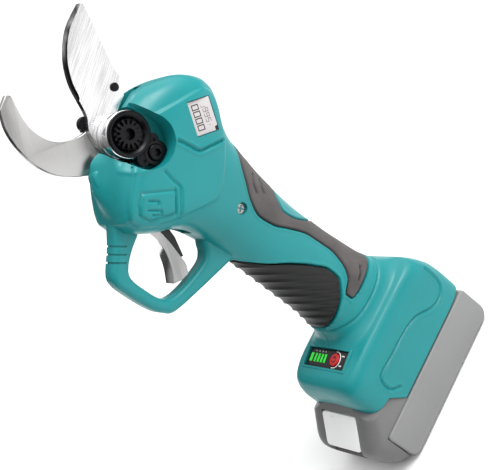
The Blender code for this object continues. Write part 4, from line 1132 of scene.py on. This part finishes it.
KEPT = {"button_spring": CHROME, "control_board": BOARD, "display_board": BOARD, "panel_board": BOARD,
        "battery_board": BOARD, "drive_gear": TURNED, "drive_pinion": TURNED, "gearbox_cover": BLACK_STEEL,
        "gearbox_ring": BLACK_STEEL, "motor_bearing": CHROME, "motor_can": BLACK_STEEL,
        "motor_end_cap": BLACK,
        "motor_lead_black": BLACK, "motor_lead_red": RED_WIRE, "motor_rotor": COPPER,
        "pinion_bearing": CHROME,
        "planet_gear_1": TURNED, "planet_gear_2": TURNED, "planet_gear_3": TURNED, "power_switch": BLACK,
        "terminal_block": BLACK, "trigger_pin": TURNED, "trigger_spring": CHROME, "trigger_switch": BLACK}


def kept_nodes():
    looks = dict(KEPT)
    looks.update(("battery_cell_%d" % i, CELL) for i in range(1, 6))
    looks.update(("housing_screw_%d" % i, BLACK_STEEL) for i in range(2, 7))
    for name, look in looks.items():
        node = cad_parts[name]
        node.data.materials.clear()
        node.data.materials.append(look)


def housing_screw():
    """The one screw on the left side, with a cross recess."""
    x, z = LEFT_SCREW
    half = side_y(x, z)
    head = half - 2.3
    profile = rounded([(0, -17.0), (1.5, -17.0), (1.5, head - 2.2), (3.5, head - 2.2), (3.5, head),
                       (0, head)], 0.5, 3)
    screw = turned("case_screw", profile, (x, 0, z), (0, -1, 0), TURNED, 48)
    for turn in (20, 110):
        a = math.radians(turn)
        u = Vector((math.cos(a), 0, math.sin(a)))
        v = Vector((-math.sin(a), 0, math.cos(a)))
        corners = [Vector((x, 0, z)) + u * p + v * q for p, q in ((-2.3, -0.45), (2.3, -0.45), (2.3, 0.45),
                                                                  (-2.3, 0.45))]
        rings = [[(c.x, -s, c.z) for c in corners] for s in (head - 1.2, head + 2)]
        boolean(screw, loft("tool", rings))
    finish(screw, "housing", ("housing_screw_1",), 35)


# ---------------------------------------------------------------- stage

KEY_LIGHT = (0.62, -0.60, 1.10)
VIEW_RIGHT = (0.471, -0.515, -0.718)
VIEW_UP = (0.836, -0.003, 0.549)
EYE = (-0.193, -0.603, 0.476)
FOCAL = 81.15                       # for a sensor 36 mm wide


def stage():
    floor = show("floor", [(-3000, -3000, -1.2), (3000, -3000, -1.2), (3000, 3000, -1.2),
                           (-3000, 3000, -1.2)],
                 [(0, 1, 2, 3)])
    made, nodes, links, shader = node_tree("pale_floor")
    drift = noise_node(nodes, links, 3.0, 2.0)
    tone = ramp_node(nodes, links, drift.outputs["Fac"], (0.93, 0.93, 0.93), (0.95, 0.95, 0.95))
    links.new(tone.outputs["Color"], shader.inputs["Base Color"])
    shader.inputs["Roughness"].default_value = 0.9
    shader.inputs["Specular IOR Level"].default_value = 0.1
    floor.data.materials.append(made)
    world = bpy.data.worlds.new("studio")
    bpy.context.scene.world = world
    world.use_nodes = True
    nodes = world.node_tree.nodes
    links = world.node_tree.links
    back = nodes["Background"]
    place = nodes.new("ShaderNodeTexCoord")
    lean = nodes.new("ShaderNodeVectorMath")
    lean.operation = "DOT_PRODUCT"
    lean.inputs[1].default_value = Vector((0.62, -0.25, 0.74)).normalized()
    links.new(place.outputs["Generated"], lean.inputs[0])
    glow = ramp_node(nodes, links, lean.outputs["Value"], (0.22,) * 3, (1.75,) * 3, 0.0, 0.95)
    split = nodes.new("ShaderNodeSeparateXYZ")
    links.new(place.outputs["Generated"], split.inputs["Vector"])
    band = ramp_node(nodes, links, split.outputs["Z"], (0.22,) * 3, (1.0,) * 3, 0.16, 0.30)
    mix = nodes.new("ShaderNodeMix")
    mix.data_type = "RGBA"
    mix.blend_type = "MULTIPLY"
    mix.inputs["Factor"].default_value = 1.0
    links.new(glow.outputs["Color"], mix.inputs["A"])
    links.new(band.outputs["Color"], mix.inputs["B"])
    links.new(mix.outputs["Result"], back.inputs["Color"])
    back.inputs["Strength"].default_value = 1.15
    aim = Vector((0.0, 0.0, 0.19))
    light = bpy.data.lights.new("key", "AREA")
    light.shape = "DISK"
    light.size = 0.6
    light.energy = 10.0
    lamp = bpy.data.objects.new("key", light)
    lamp.location = KEY_LIGHT
    lamp.rotation_euler = (aim - Vector(KEY_LIGHT)).to_track_quat("-Z", "Y").to_euler()
    bpy.context.scene.collection.objects.link(lamp)


def camera():
    data = bpy.data.cameras.new("camera")
    data.sensor_width = 36.0
    data.lens = FOCAL
    data.clip_start = 0.01
    item = bpy.data.objects.new("camera", data)
    right = Vector(VIEW_RIGHT)
    up = Vector(VIEW_UP)
    back = right.cross(up).normalized()
    up = back.cross(right).normalized()
    right.normalize()
    item.matrix_world = Matrix(((right.x, up.x, back.x, EYE[0]), (right.y, up.y, back.y, EYE[1]),
                                (right.z, up.z, back.z, EYE[2]), (0, 0, 0, 1)))
    bpy.context.scene.collection.objects.link(item)
    bpy.context.scene.camera = item


def main():
    bpy.context.scene.view_settings.view_transform = "Standard"
    camera()
    stage()
    kept_nodes()
    skin = Skin(STEP)
    shells(skin, housing_offsets(skin))
    lips()
    grips(skin)
    cutting_blade()
    hook_blade()
    pivot_stack()
    trigger()
    display()
    power_panel()
    battery_tub()
    battery_top()
    housing_screw()


main()
